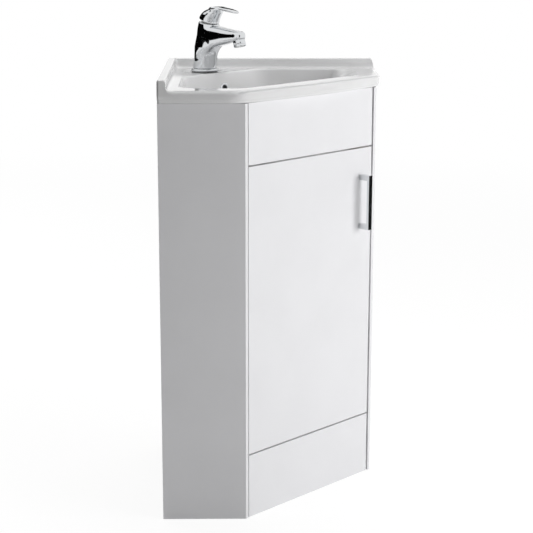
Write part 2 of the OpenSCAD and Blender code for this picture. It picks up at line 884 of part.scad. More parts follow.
// ---- Click-clack waste
module waste_body() {
    top = bowl_z + gasket_t;
    r = waste_d / 2;
    color(chrome) at_waste() difference() {
        union() {
            translate([0, 0, top]) cylinder(d = waste_flange_d, h = flange_top_t);
            translate([0, 0, waste_foot]) cylinder(r = r, h = top - waste_foot + eps);
        }
        difference() {
            translate([0, 0, waste_foot - eps]) cylinder(r = r - waste_wall, h = far);
            translate([0, 0, spider_z]) {
                cylinder(d = spindle_d + 6, h = 6);
                for (a = [0, 120, 240]) rotate([0, 0, a]) translate([0, -1.5, 0]) cube([r, 3, 6]);
            }
        }
        translate([0, 0, spider_z - eps]) cylinder(r = spindle_d / 2 + fit, h = far);
        for (a = [45, 135]) rotate([0, 0, a]) translate([-far / 2, -6, duct_z + 0.5])
            cube([far, 12, duct_h - 2]);
    }
}
module waste_seal_top() {
    color(black_rubber) at_waste() translate([0, 0, bowl_z])
        ring(waste_flange_d / 2 - 1, waste_d / 2 + fit, gasket_t);
}
module waste_seal_low() {
    color(black_rubber) at_waste() translate([0, 0, boss_z - waste_seal_t])
        ring(boss_r - 3, waste_d / 2 + fit, waste_seal_t);
}
module waste_backnut() {
    color(chrome) at_waste() translate([0, 0, boss_z - waste_seal_t - backnut_h]) difference() {
        cylinder(r = 30, h = backnut_h, $fn = 6);
        translate([0, 0, -eps]) cylinder(r = waste_d / 2 + fit, h = backnut_h + 2 * eps);
    }
}
module waste_plug() {
    cap_z = bowl_z + gasket_t + flange_top_t + cap_gap;
    color(chrome) at_waste() {
        translate([0, 0, cap_z]) cylinder(d = waste_flange_d - 4, h = cap_t);
        translate([0, 0, spindle_foot]) cylinder(d = spindle_d, h = cap_z - spindle_foot + eps);
    }
}

// ---- Bottle trap
module trap_inlet_nut() {
    color(trap_white) at_waste() translate([0, 0, trap_top]) difference() {
        union() {
            cylinder(r = waste_d / 2 + 4, h = trap_nut_h);
            for (a = [0:30:330]) rotate([0, 0, a])
                translate([waste_d / 2 + 3, -trap_rib_w / 2, 0])
                    cube([trap_rib_t, trap_rib_w, trap_nut_h]);
        }
        translate([0, 0, waste_foot - trap_top - 4]) cylinder(r = waste_d / 2 + fit, h = far);
        translate([0, 0, -eps]) cylinder(r = trap_tube_r + fit, h = far);
    }
}
module trap_inlet_tube() {
    color(trap_white) at_waste() {
        translate([0, 0, waste_foot - 3.5]) ring(waste_d / 2 - 0.5, trap_tube_r - trap_wall, 3.5);
        translate([0, 0, waste_foot - trap_tube_l])
            ring(trap_tube_r, trap_tube_r - trap_wall, trap_tube_l - 1);
    }
}
module trap_body() {
    color(trap_white) at_waste() difference() {
        union() {
            translate([0, 0, trap_top - trap_h]) cylinder(r = trap_r, h = trap_h);
            translate([0, 0, outlet_z]) rotate([0, 0, -45]) rotate([-90, 0, 0])
                cylinder(r = outlet_r, h = outlet_l);
        }
        translate([0, 0, trap_top - trap_h - eps])
            cylinder(r = trap_r - trap_wall, h = trap_h - trap_wall);
        translate([0, 0, trap_top - trap_h]) cylinder(r = trap_tube_r + fit, h = far);
        translate([0, 0, outlet_z]) rotate([0, 0, -45]) rotate([-90, 0, 0])
            cylinder(r = pipe_d / 2 + fit, h = far);
    }
}
module trap_cup() {
    z = trap_top - trap_h + trap_cup_lap - trap_cup_h;
    color(trap_white) at_waste() translate([0, 0, z]) difference() {
        union() {
            cylinder(r = trap_r + trap_wall + fit, h = trap_cup_h);
            for (a = [0:30:330]) rotate([0, 0, a])
                translate([trap_r + 1, -trap_rib_w / 2, trap_cup_h - trap_rib_h - 4])
                    cube([trap_rib_t + 1, trap_rib_w, trap_rib_h]);
        }
        translate([0, 0, trap_cup_h - trap_cup_lap])
            cylinder(r = trap_r + fit, h = trap_cup_lap + eps);
        translate([0, 0, trap_wall]) cylinder(r = trap_r - trap_wall, h = far);
    }
}
module trap_outlet_nut() {
    color(trap_white) at_waste() translate([0, 0, outlet_z]) rotate([0, 0, -45]) rotate([-90, 0, 0])
        translate([0, 0, outlet_l - outlet_nut_h + 4]) difference() {
            union() {
                cylinder(r = outlet_r + 3.5, h = outlet_nut_h);
                for (a = [0:30:330]) rotate([0, 0, a])
                    translate([outlet_r + 2.5, -trap_rib_w / 2, 0])
                        cube([trap_rib_t, trap_rib_w, outlet_nut_h]);
            }
            translate([0, 0, -eps]) cylinder(r = outlet_r + fit, h = outlet_nut_h - 4 + eps);
            translate([0, 0, -eps]) cylinder(r = pipe_d / 2 + fit, h = far);
        }
}

// ---- Tap: X points forward along the diagonal, the leaning frame tips its Z axis forward
module at_tap() {
    rotate([0, 0, -45]) translate([tap_n, 0, basin_top]) children();
}
module leaning() {
    at_tap() rotate([0, tap_lean, 0]) children();
}
module at_outlet() {
    at_tap() translate([spout_reach, 0, spout_h]) rotate([0, -tap_lean, 0]) children();
}
module above(z) {
    intersection() {
        children();
        at_tap() translate([-far / 2, -far / 2, z]) cube(far);
    }
}
module tap_body() {
    foot_z = tap_gasket_t;
    color(chrome) difference() {
        union() {
            at_tap() translate([0, 0, foot_z]) cylinder(d = tap_foot_d, h = foot_t);
            above(foot_z) leaning() {
                translate([0, 0, -8])
                    cylinder(d1 = tap_low_d, d2 = tap_top_d, h = tap_body_l + 8);
            }
            hull() {
                leaning() translate([0, 0, tap_body_l * 0.54])
                    cylinder(d = tap_top_d - 2.5, h = tap_body_l * 0.43, $fn = 32);
                at_outlet() cylinder(d = spout_d, h = 13, $fn = 32);
            }
        }
        leaning() translate([0, 0, seat_z]) cylinder(d = seat_d, h = far);
        at_tap() for (y = [-inlet_y, inlet_y])
            translate([inlet_x, y, foot_z - eps]) cylinder(d = inlet_d, h = inlet_depth + eps);
        at_tap() translate([stud_x, 0, foot_z - eps])
            cylinder(r = stud_d / 2 + 0.01, h = stud_depth + eps);
        at_outlet() {
            translate([0, 0, -eps]) cylinder(r = aerator_thread_r + fit, h = aerator_thread_h + 1);
            translate([0, 0, -aerator_h]) cylinder(r = aerator_r + slack, h = aerator_h);
        }
        water_way();
    }
}
// The water's way from the cartridge's seat to the outlet
module water_way() {
    at_tap() translate([20, 0, spout_h + 6]) rotate([0, 90, 0]) cylinder(d = 8, h = spout_reach - 20);
}
module tap_gasket() {
    color(black_rubber) at_tap() ring(tap_foot_d / 2 - 2, tap_hole_d / 2, tap_gasket_t);
}
module tap_cartridge() {
    color(nylon) leaning() difference() {
        union() {
            translate([0, 0, seat_z]) cylinder(r = seat_d / 2 - fit, h = nut_z - seat_z);
            translate([0, 0, nut_z - eps]) cylinder(r = cartridge_neck_r, h = cartridge_top - nut_z);
        }
        translate([0, 0, turret_foot - slack]) cylinder(r = turret_r + fit, h = far);
    }
}
module cartridge_nut() {
    color(zinc) leaning() translate([0, 0, nut_z])
        ring(seat_d / 2 - fit, cartridge_neck_r + fit, tap_body_l - nut_z);
}
module cartridge_turret() {
    color(nylon) leaning() difference() {
        translate([0, 0, turret_foot]) cylinder(r = turret_r, h = turret_top - turret_foot);
        translate([-far / 2, -stem_w / 2 - slack, pivot_z - 6.4]) cube([far, stem_w + 2 * slack, far]);
        translate([0, 0, pivot_z]) rotate([90, 0, 0])
            cylinder(r = turret_pin_d / 2 + 0.01, h = 40, center = true);
    }
}
module turret_pin() {
    l = 2 * (turret_r - 1);
    color(zinc) leaning() translate([0, 0, pivot_z]) rotate([90, 0, 0])
        cylinder(d = turret_pin_d, h = l, center = true);
}
module lever_stem() {
    color(zinc) leaning() difference() {
        translate([-stem_w / 2, -stem_w / 2, pivot_z - 4])
            cube([stem_w, stem_w, stem_top - pivot_z + 4]);
        translate([0, 0, pivot_z]) rotate([90, 0, 0])
            cylinder(r = turret_pin_d / 2 + fit, h = 40, center = true);
    }
}
module tap_lever() {
    r = tap_top_d / 2;
    rim_slope = atan2(lever_rim_rear - lever_rim_front, 2 * r);
    color(chrome) leaning() difference() {
        union() {
            hull() {
                translate([0, 0, lever_rim_front]) cylinder(r = r, h = 12, $fn = 48);
                translate([0, 0, lever_rim_front + 12]) cylinder(r = r - 1, h = 4, $fn = 48);
                translate([6, 0, lever_top - 14]) cylinder(r = r - 6, h = 6, $fn = 32);
                translate([lever_root_x, 0, lever_top - lever_t])
                    cylinder(r = lever_root_r, h = lever_t, $fn = 32);
            }
            hull() {
                translate([lever_root_x, 0, lever_top - lever_t])
                    cylinder(r = lever_root_r, h = lever_t, $fn = 32);
                translate([lever_l - lever_tip_r, 0, lever_top - lever_t])
                    cylinder(r = lever_tip_r, h = lever_t, $fn = 32);
            }
        }
        translate([r, 0, lever_rim_front]) rotate([0, rim_slope, 0])
            translate([-far / 2, -far / 2, -far]) cube(far);
        translate([0, 0, lever_rim_front - far]) cylinder(r = cavity_r, h = far + cavity_top - lever_rim_front);
        translate([-stem_w / 2 - 0.02, -stem_w / 2 - 0.02, 0])
            cube([stem_w + 0.04, stem_w + 0.04, stem_top]);
        translate([-far, 0, stem_top - 2.5]) rotate([0, 90, 0]) cylinder(r = 2 + fit, h = far);
    }
}
module lever_screw() {
    color(black_rubber) leaning() translate([-stem_w / 2 - 9, 0, stem_top - 2.5]) rotate([0, 90, 0])
        cylinder(r = 2, h = 9);
}
module aerator_shell() {
    color(chrome) at_outlet() {
        translate([0, 0, -aerator_h]) ring(aerator_r, aerator_r - 1.8, aerator_h - slack);
        translate([0, 0, -slack - eps])
            ring(aerator_thread_r, aerator_r - 1.8 - 1, aerator_thread_h);
    }
}
module aerator_insert() {
    color(nylon) at_outlet() translate([0, 0, -aerator_h + 0.8]) difference() {
        cylinder(r = aerator_r - 1.8 - fit, h = 8);
        for (a = [0:60:300]) rotate([0, 0, a]) translate([5.5, 0, -eps]) cylinder(r = 1.6, h = 9, $fn = 16);
        translate([0, 0, -eps]) cylinder(r = 1.6, h = 9, $fn = 16);
    }
}

// ---- What clamps the tap under the deck
module tap_stud() {
    color(zinc) at_tap() translate([stud_x, 0, tap_gasket_t + stud_depth - stud_l])
        cylinder(d = stud_d, h = stud_l);
}
module horseshoe(t) {
    difference() {
        cylinder(r = shoe_r, h = t);
        translate([shoe_x, 0, -eps]) cylinder(r = shoe_open_r, h = t + 2 * eps);
        translate([shoe_x, -shoe_open_r, -eps]) cube([shoe_r, 2 * shoe_open_r, t + 2 * eps]);
        translate([stud_x, 0, -eps]) cylinder(r = stud_d / 2 + fit, h = t + 2 * eps);
    }
}
module stud_washer() {
    color(black_rubber) at_tap() translate([0, 0, -lip_h - stud_washer_t]) horseshoe(stud_washer_t);
}
module stud_plate() {
    color(zinc) at_tap() translate([0, 0, -lip_h - stud_washer_t - stud_plate_t])
        horseshoe(stud_plate_t);
}
module stud_nut() {
    color(zinc) at_tap()
        translate([stud_x, 0, -lip_h - stud_washer_t - stud_plate_t - stud_nut_h]) difference() {
            cylinder(r = 7.5, h = stud_nut_h, $fn = 6);
            translate([0, 0, -eps]) cylinder(r = stud_d / 2 + fit, h = stud_nut_h + 2 * eps);
        }
}

left_return_panel();
right_return_panel();
base_board();
shelf();
shelf_pins();
left_rail_top();
left_rail_low();
rear_rail_top();
rear_rail_low();
corner_post();
corner_foot();
fascia_rail();
top_fascia();
plinth_panel();
front_brackets();
bracket_screws();
fascia_screws();
cam_locks();
cam_bolts();
door_stops();
door_bumpers();
door();
door_handle();
handle_screws();
hinge_housings();
hinge_pins();
housing_screws();
hinge_arms();
hinge_plates();
plate_screws();
arm_screws();
basin();
basin_bowl();
basin_seal();
overflow_ring();
waste_body();
waste_seal_top();
waste_seal_low();
waste_backnut();
waste_plug();
trap_inlet_nut();
trap_inlet_tube();
trap_body();
trap_cup();
trap_outlet_nut();
tap_body();
tap_gasket();
tap_cartridge();
cartridge_nut();
cartridge_turret();
turret_pin();
lever_stem();
tap_lever();
lever_screw();
aerator_shell();
aerator_insert();
tap_stud();
stud_washer();
stud_plate();
stud_nut();
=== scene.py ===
# Corner vanity unit: a five-sided cabinet with one diagonal door, a glazed corner basin and a
# single-lever tap. Lengths are in millimetres up to the point where a mesh is placed.
import math

import bmesh
import bpy
import numpy as np
from mathutils import Matrix, Vector


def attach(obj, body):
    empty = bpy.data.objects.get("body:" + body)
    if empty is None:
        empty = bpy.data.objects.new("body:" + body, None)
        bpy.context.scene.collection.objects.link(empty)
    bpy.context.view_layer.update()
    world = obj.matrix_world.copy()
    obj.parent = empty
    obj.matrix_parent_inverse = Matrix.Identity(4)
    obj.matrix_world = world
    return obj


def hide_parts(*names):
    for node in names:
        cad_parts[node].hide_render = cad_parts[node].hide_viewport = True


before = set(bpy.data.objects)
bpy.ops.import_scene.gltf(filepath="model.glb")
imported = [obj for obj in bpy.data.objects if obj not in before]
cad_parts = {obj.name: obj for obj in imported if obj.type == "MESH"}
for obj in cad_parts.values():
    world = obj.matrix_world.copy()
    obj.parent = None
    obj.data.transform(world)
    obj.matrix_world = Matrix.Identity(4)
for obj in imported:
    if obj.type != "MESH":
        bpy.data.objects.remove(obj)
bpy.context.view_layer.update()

# ---- Camera
# It stands in front of the left return panel, above the basin's height, on a long lens.
scene = bpy.context.scene
lens = bpy.data.cameras.new("camera")
lens.sensor_width = 36
lens.lens = 100.02
camera = bpy.data.objects.new("camera", lens)
camera.location = (0.1522, -2.9976, 1.1104)
camera.rotation_euler = (math.radians(90 - 13.537), math.radians(-0.087), math.radians(-0.873))
scene.collection.objects.link(camera)
scene.camera = camera

# ---- Studio
# A white floor and a white surround, a broad key lamp low on the right, three weaker lamps above
# and behind, and weak light all round. Five dark cards that only reflections see give the chrome
# its black bands. Lengths in this section are in metres.
scene.view_settings.view_transform = "Standard"


def linear(code):
    """An sRGB hex colour as linear RGBA."""
    channels = [int(code[i:i + 2], 16) / 255 for i in (1, 3, 5)]
    return [c / 12.92 if c <= 0.04045 else ((c + 0.055) / 1.055) ** 2.4 for c in channels] + [1.0]


def put(tree, kind, sockets=None, **settings):
    """Adds a shader node: settings are its properties, sockets its values and incoming links."""
    made = tree.nodes.new("ShaderNode" + kind)
    for name, value in settings.items():
        setattr(made, name, value)
    for name, value in (sockets or {}).items():
        if isinstance(value, bpy.types.NodeSocket):
            tree.links.new(value, made.inputs[name])
        else:
            made.inputs[name].default_value = value
    return made


def seen_directly(tree):
    """1 for rays from the camera, a mirror or through glass, and 0 for light on the object."""
    path = put(tree, "LightPath")
    two = put(tree, "Math", {0: path.outputs["Is Camera Ray"], 1: path.outputs["Is Glossy Ray"]},
              operation="MAXIMUM")
    return put(tree, "Math", {0: two.outputs[0], 1: path.outputs["Is Transmission Ray"]},
               operation="MAXIMUM").outputs[0]


def bare(name):
    """A material with no nodes yet."""
    material = bpy.data.materials.new(name)
    material.use_nodes = True
    material.node_tree.nodes.clear()
    return material, material.node_tree


AMBIENT = 0.06
world = bpy.data.worlds.new("white_surround")
scene.world = world
world.use_nodes = True
air = world.node_tree
air.nodes.clear()
weak = put(air, "Background", {"Color": linear("#FFFFFF"), "Strength": AMBIENT})
white = put(air, "Background", {"Color": linear("#FFFFFF"), "Strength": 1.0})
both = put(air, "MixShader", {0: seen_directly(air), 1: weak.outputs[0], 2: white.outputs[0]})
put(air, "OutputWorld", {"Surface": both.outputs[0]})

FLOOR_HALF = 9.0
floor_mesh = bpy.data.meshes.new("studio_floor")
floor_mesh.from_pydata([(-FLOOR_HALF, -FLOOR_HALF, 0), (FLOOR_HALF, -FLOOR_HALF, 0),
                        (FLOOR_HALF, FLOOR_HALF, 0), (-FLOOR_HALF, FLOOR_HALF, 0)],
                       [], [(0, 1, 2, 3)])
floor = bpy.data.objects.new("studio_floor", floor_mesh)
scene.collection.objects.link(floor)

# Matt white paint. Close to the object a fifth of what is seen is paint under the lamps, which
# keeps the object's shadow. The rest shines white by itself, and far out all of it does.
CLOSE, FAR_OUT = 1.2, 4.0
floor_paint, tree = bare("white_painted_floor")
matt = put(tree, "BsdfDiffuse", {"Color": linear("#E4E4E4")})
away = put(tree, "VectorMath", {0: put(tree, "TexCoord").outputs["Object"]}, operation="LENGTH")
fade = {"Value": away.outputs["Value"], "From Min": CLOSE, "From Max": FAR_OUT}
glow = put(tree, "MapRange", {**fade, "To Min": 1.125, "To Max": 1.0})
lit = put(tree, "Emission", {"Color": linear("#FFFFFF"), "Strength": glow.outputs[0]})
share = put(tree, "MapRange", {**fade, "To Min": 0.8, "To Max": 1.0})
share = put(tree, "Math", {0: seen_directly(tree), 1: share.outputs[0]}, operation="MULTIPLY")
both = put(tree, "MixShader", {0: share.outputs[0], 1: matt.outputs[0], 2: lit.outputs[0]})
put(tree, "OutputMaterial", {"Surface": both.outputs[0]})
floor_mesh.materials.append(floor_paint)


def lamp(name, place, aim, wide, high, watts):
    """A soft lamp behind a diffuser, aimed at a point. Polished faces don't mirror it."""
    data = bpy.data.lights.new(name, "AREA")
    data.shape, data.size, data.size_y, data.energy = "RECTANGLE", wide, high, watts
    made = bpy.data.objects.new(name, data)
    made.location = place
    made.rotation_euler = (Vector(aim) - Vector(place)).to_track_quat("-Z", "Y").to_euler()
    made.visible_glossy = False
    scene.collection.objects.link(made)


lamp("key_lamp", (3.1, -1.42, 0.95), (0.2, -0.3, 0.6), 2.4, 1.9, 79)
lamp("top_lamp", (0.5, -0.9, 3.2), (0.2, -0.2, 0.8), 1.8, 1.8, 5)
lamp("overhead_lamp", (0.25, 0.35, 3.0), (0.25, -0.1, 0.8), 1.4, 1.4, 34)
lamp("rear_lamp", (-2.2, 2.2, 1.5), (0.2, -0.2, 0.5), 1.6, 1.6, 34)

card_paint, tree = bare("black_card")
dark = put(tree, "Emission", {"Color": linear("#050505"), "Strength": 1.0})
put(tree, "OutputMaterial", {"Surface": dark.outputs[0]})


def card(name, corner_a, corner_b, low, high):
    """A standing dark card between two points in plan, seen only in reflections."""
    mesh = bpy.data.meshes.new(name)
    (ax, ay), (bx, by) = corner_a, corner_b
    mesh.from_pydata([(ax, ay, low), (bx, by, low), (bx, by, high), (ax, ay, high)],
                     [], [(0, 1, 2, 3)])
    mesh.materials.append(card_paint)
    made = bpy.data.objects.new(name, mesh)
    scene.collection.objects.link(made)
    made.visible_camera = made.visible_diffuse = made.visible_shadow = False
    made.visible_transmission = made.visible_volume_scatter = False


card("card_left", (-2.5, -1.7), (-0.9, 2.4), 0.45, 1.4)
card("card_rear", (-1.5, 1.1), (-0.45, 2.6), 1.4, 2.4)
card("card_high", (-0.05, 2.4), (0.42, 2.4), 1.5, 1.86)
card("card_right", (2.2, -0.13), (2.2, 0.05), 0.05, 0.36)
card("card_front", (0.62, -2.55), (1.3, -2.3), 0.2, 1.3)

# ---- Gloss-faced fronts and return panels
# Particle board wrapped in a white high-gloss film, with thick edging of the same white. The
# film is pressed on, so it mirrors softly and shows a faint orange peel; arrises are eased.
MM = 0.001
ARRIS = 0.9


def surface(name, code, roughness, metallic=0.0, **sockets):
    """A material with one principled shader, whose plain values are set on its own sockets."""
    material, tree = bare(name)
    shader = put(tree, "BsdfPrincipled", {"Base Color": linear(code), "Roughness": roughness,
                                          "Metallic": metallic})
    for socket, value in sockets.items():
        shader.inputs[socket.replace("_", " ")].default_value = value
    put(tree, "OutputMaterial", {"Surface": shader.outputs[0]})
    where = put(tree, "TexCoord").outputs["Object"]
    return material, tree, shader, where


def finish(tree, shader, colour=None, roughness=None, relief=None, spread=(0.35, 0.65)):
    """Lets patterns drive a shader. Colour is (pattern, hex, hex), from one to the other over the
    pattern's spread, roughness is (pattern, low, high) and relief is (pattern, height in mm)."""
    if colour:
        pattern, code_a, code_b = colour
        share = put(tree, "MapRange", {"Value": pattern.outputs["Fac"], "From Min": spread[0],
                                       "From Max": spread[1]})
        mixed = put(tree, "Mix", {0: share.outputs[0], 6: linear(code_a), 7: linear(code_b)},
                    data_type="RGBA")
        tree.links.new(mixed.outputs[2], shader.inputs["Base Color"])
    if roughness:
        pattern, low, high = roughness
        span = put(tree, "MapRange", {"Value": pattern.outputs["Fac"], "To Min": low,
                                      "To Max": high})
        tree.links.new(span.outputs[0], shader.inputs["Roughness"])
    if relief:
        pattern, height = relief
        bump = put(tree, "Bump", {"Height": pattern.outputs["Fac"], "Distance": height * MM,
                                  "Strength": 1.0})
        tree.links.new(bump.outputs[0], shader.inputs["Normal"])


gloss_film, tree, shader, where = surface("white_gloss_film", "#EDEDEF", 0.22, IOR=1.5)
cloud = put(tree, "TexNoise", {"Vector": where, "Scale": 1 / (90 * MM), "Detail": 3})
smear = put(tree, "TexNoise", {"Vector": where, "Scale": 1 / (60 * MM), "Detail": 3})
peel = put(tree, "TexNoise", {"Vector": where, "Scale": 1 / (3.5 * MM), "Detail": 1})
finish(tree, shader, (cloud, "#ECECEE", "#EEEEF0"), (smear, 0.2, 0.26), (peel, 0.012))


def eased(name, material, width, angle=40):
    """Keeps a CAD node: a new material, and its sharp edges eased by width."""
    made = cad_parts[name]
    made.data.materials.clear()
    made.data.materials.append(material)
    if width:
        weld = made.modifiers.new("weld", "WELD")
        weld.merge_threshold = 1e-5
        ease = made.modifiers.new("eased_edges", "BEVEL")
        ease.width, ease.segments = width * MM, 2
        ease.limit_method, ease.angle_limit = "ANGLE", math.radians(angle)
        ease.use_clamp_overlap = True
        even = made.modifiers.new("flat_faces", "WEIGHTED_NORMAL")
        even.weight = 100
    return made


for name in ("left_return_panel", "right_return_panel", "top_fascia", "plinth_panel", "door"):
    eased(name, gloss_film, ARRIS)

# ---- Inner boards
# White melamine-faced particle board: base, shelf, wall rails and the rail behind the fascia. The
# melamine is pressed with a fine pearl grain, drawn at 1.2 mm so that it shows, and is less shiny
# than the fronts.
melamine, tree, shader, where = surface("white_melamine", "#E4E4E1", 0.42)
cloud = put(tree, "TexNoise", {"Vector": where, "Scale": 1 / (40 * MM), "Detail": 3})
pearl = put(tree, "TexNoise", {"Vector": where, "Scale": 1 / (1.2 * MM), "Detail": 2})
finish(tree, shader, (cloud, "#E2E2DF", "#E7E7E4"), (pearl, 0.36, 0.5), (pearl, 0.05))
for name in ("base_board", "shelf", "left_rail_top", "left_rail_low", "rear_rail_top",
             "rear_rail_low", "fascia_rail"):
    eased(name, melamine, 0.5)

# ---- Corner post, corner foot and door stops
# Planed softwood: growth rings about 3 mm apart, stretched along the grain, dull and warm.
RING = 3.0
WAVE = 2 * math.pi / 20         # one band of the wave pattern, in the pattern's own units
pine, tree, shader, where = surface("planed_pine", "#D6BC92", 0.6)
along = put(tree, "Mapping", {"Vector": where, "Scale": (1.0, 1.0, 0.08)})
rings = put(tree, "TexWave", {"Vector": along.outputs[0], "Scale": WAVE / (RING * MM),
                              "Distortion": 3.0, "Detail": 3.0, "Detail Scale": 0.25},
            bands_direction="X")
finish(tree, shader, (rings, "#CDAF80", "#DEC9A2"), relief=(rings, 0.08), spread=(0.1, 0.9))
for name in ("corner_post", "corner_foot", "door_stops"):
    eased(name, pine, 0.8)

# ---- Hinges, brackets, screws, cams and pins
# Pressed steel, die-cast zinc and turned screws, all bright zinc plated: a satin grey metal whose
# crystals give it a faint spangle.
zinc, tree, shader, where = surface("bright_zinc_plate", "#BDC0C2", 0.32, 1.0)
spangle = put(tree, "TexNoise", {"Vector": where, "Scale": 1 / (2.5 * MM), "Detail": 3})
pitting = put(tree, "TexNoise", {"Vector": where, "Scale": 1 / (0.8 * MM), "Detail": 2})
finish(tree, shader, (spangle, "#B6B9BC", "#C4C6C8"), (spangle, 0.26, 0.4), (pitting, 0.01))
for name in ("shelf_pins", "front_brackets", "bracket_screws", "fascia_screws", "cam_locks",
             "cam_bolts", "handle_screws", "hinge_pins", "housing_screws", "plate_screws",
             "arm_screws", "cartridge_nut", "turret_pin", "lever_stem", "tap_stud", "stud_plate",
             "stud_nut"):
    eased(name, zinc, 0.0)
for name in ("hinge_housings", "hinge_arms", "hinge_plates"):
    eased(name, zinc, 0.3)

# ---- Seals, bumpers and the bead under the basin
# Rings moulded in black EPDM rubber, matt with a fine grain. The lever's screw would be steel, but
# its slot in the record is rubber, so it is shown like the rings. A bead of white silicone, softly
# shiny and a little wavy from the finger that smoothed it. Two clear polyurethane dots, cast with
# a slightly cloudy face, behind the door.
rubber, tree, shader, where = surface("moulded_rubber", "#1B1B1C", 0.6)
bloom = put(tree, "TexNoise", {"Vector": where, "Scale": 1 / (1.5 * MM), "Detail": 2})
fine = put(tree, "TexNoise", {"Vector": where, "Scale": 1 / (0.6 * MM), "Detail": 1})
finish(tree, shader, roughness=(bloom, 0.52, 0.68), relief=(fine, 0.02))
for name in ("waste_seal_top", "waste_seal_low", "tap_gasket", "stud_washer", "lever_screw"):
    eased(name, rubber, 0.0)

silicone, tree, shader, where = surface("white_silicone", "#E6E6E2", 0.35, IOR=1.41)
smoothed = put(tree, "TexNoise", {"Vector": where, "Scale": 1 / (12 * MM), "Detail": 2})
wavy = put(tree, "TexNoise", {"Vector": where, "Scale": 1 / (6 * MM), "Detail": 2})
finish(tree, shader, roughness=(smoothed, 0.3, 0.42), relief=(wavy, 0.08))
eased("basin_seal", silicone, 0.0)

clear_dot, tree, shader, where = surface("clear_polyurethane", "#DADBD6", 0.25, IOR=1.5,
                                         Transmission_Weight=0.6)
cloudy = put(tree, "TexNoise", {"Vector": where, "Scale": 1 / (3 * MM), "Detail": 1})
finish(tree, shader, roughness=(cloudy, 0.2, 0.3))
eased("door_bumpers", clear_dot, 0.4)

# ---- Door handle
# A flat bar on two square arms, die-cast zinc, screwed from behind. It is polished and bright
# chrome plated: a mirror with the faint waviness that polishing leaves.
chrome, tree, shader, where = surface("chrome_plate", "#D9DBDD", 0.07, 1.0)
wiped = put(tree, "TexNoise", {"Vector": where, "Scale": 1 / (14 * MM), "Detail": 3})
wavy = put(tree, "TexNoise", {"Vector": where, "Scale": 1 / (9 * MM), "Detail": 1})
finish(tree, shader, roughness=(wiped, 0.05, 0.09), relief=(wavy, 0.004))
eased("door_handle", chrome, 0.8)

# ---- Basin
# Vitreous china, cast in one piece and glazed white: a flat deck with upstands along both walls,
# a bowl with two lobes and a rounded lip. The glaze is glossy and a little wavy, and every edge
# runs in a radius under it.
RUN = 416.0                     # along each wall
DECK, LIP_FOOT = 803.0, 781.0   # heights of the deck and of the lip's underside
UPSTAND_T, UPSTAND_H = 15.0, 18.0
UPSTAND_R, SCOOP_R = 3.0, 9.0   # radii of the upstands' top edges, and of the scoop at their foot
LIP_R = 7.0                     # radius of the lip's top edge
BOW_R, BOW_N = 1500.0, 410.0    # radius of the bowed front, and its reach from the room's corner
CORNER_R = 65.0                 # radius in plan of the two front corners
K = math.sqrt(0.5)              # sine and cosine of 45 degrees


def diagonal(u, n, z=0.0):
    """A point from the diagonal frame: u along the door, n from the room's corner outwards."""
    return np.array([(u + n) * K, (u - n) * K, z])


glaze, tree, shader, where = surface("white_glazed_china", "#E6E6E6", 0.07, IOR=1.52,
                                     Coat_Weight=0.35, Coat_Roughness=0.04)
cloud = put(tree, "TexNoise", {"Vector": where, "Scale": 1 / (70 * MM), "Detail": 2})
sheen = put(tree, "TexNoise", {"Vector": where, "Scale": 1 / (30 * MM), "Detail": 2})
wavy = put(tree, "TexNoise", {"Vector": where, "Scale": 1 / (38 * MM), "Detail": 1})
finish(tree, shader, (cloud, "#E4E4E4", "#E7E7E8"), (sheen, 0.05, 0.1), (wavy, 0.10))
# A band of painted shade: the glaze is painted greyer along the throat behind the lip's rolled
# edge, where the top edge turns down from the deck
SHADE_LINE_MID = 3.4                  # from the lip's front to the middle of the painted shade
SHADE_LINE_FULL, SHADE_LINE_END = 1.2, 2.6  # half widths at which it is fully grey, and at which it ends
SHADE_LINE_LOW, SHADE_LINE_TOP = DECK - 6, DECK - 4
plan = put(tree, "VectorMath", {0: where, 1: (1, 1, 0)}, operation="MULTIPLY")
bow = put(tree, "VectorMath", {0: plan.outputs[0], 1: diagonal(0, BOW_N - BOW_R) * MM},
          operation="DISTANCE")
off = put(tree, "Math", {0: bow.outputs["Value"], 1: (BOW_R - SHADE_LINE_MID) * MM},
          operation="SUBTRACT")
off = put(tree, "Math", {0: off.outputs[0]}, operation="ABSOLUTE")
painted_shade = put(tree, "MapRange", {"Value": off.outputs[0], "From Min": SHADE_LINE_END * MM,
                              "From Max": SHADE_LINE_FULL * MM})
height = put(tree, "SeparateXYZ", {0: where}).outputs["Z"]
above = put(tree, "MapRange", {"Value": height, "From Min": SHADE_LINE_LOW * MM,
                               "From Max": SHADE_LINE_TOP * MM})
painted_shade = put(tree, "Math", {0: painted_shade.outputs[0], 1: above.outputs[0]}, operation="MULTIPLY")
plain = shader.inputs["Base Color"].links[0].from_socket
# the base colour is mixed towards grey inside the band: painted shade, not a colour of the glaze
with_painted_shade = put(tree, "Mix", {0: painted_shade.outputs[0], 6: plain, 7: linear("#CBCBCC")}, data_type="RGBA")
tree.links.new(with_painted_shade.outputs[2], shader.inputs["Base Color"])

# Distances from the edge at which rows run: dense where the upstand's edge and scoop bend
EDGE = [0, 0.25, 0.6, 1.1, 1.7, 2.3, 2.8, 3.3, 3.8, 4.3, 4.8, 5.4, 6.2, 7.2, 8.4, 10, 12]
ROUND = [UPSTAND_T - UPSTAND_R * (1 - math.sin(math.radians(a))) for a in range(15, 91, 15)]
SCOOP = [UPSTAND_T + SCOOP_R * (1 - math.cos(math.radians(b))) for b in range(6, 91, 7)]
FLAT = [30.2, 30.8]
STEPS = EDGE + ROUND + SCOOP + FLAT
bow_mid = diagonal(0, BOW_N - BOW_R)[:2]
reach = math.sqrt((BOW_R - CORNER_R) ** 2 - (-RUN + CORNER_R - bow_mid[1]) ** 2)
left_mid = np.array([bow_mid[0] + reach, -RUN + CORNER_R])      # centre of the left front corner
bow_start = math.atan2(left_mid[1] - bow_mid[1], left_mid[0] - bow_mid[0])


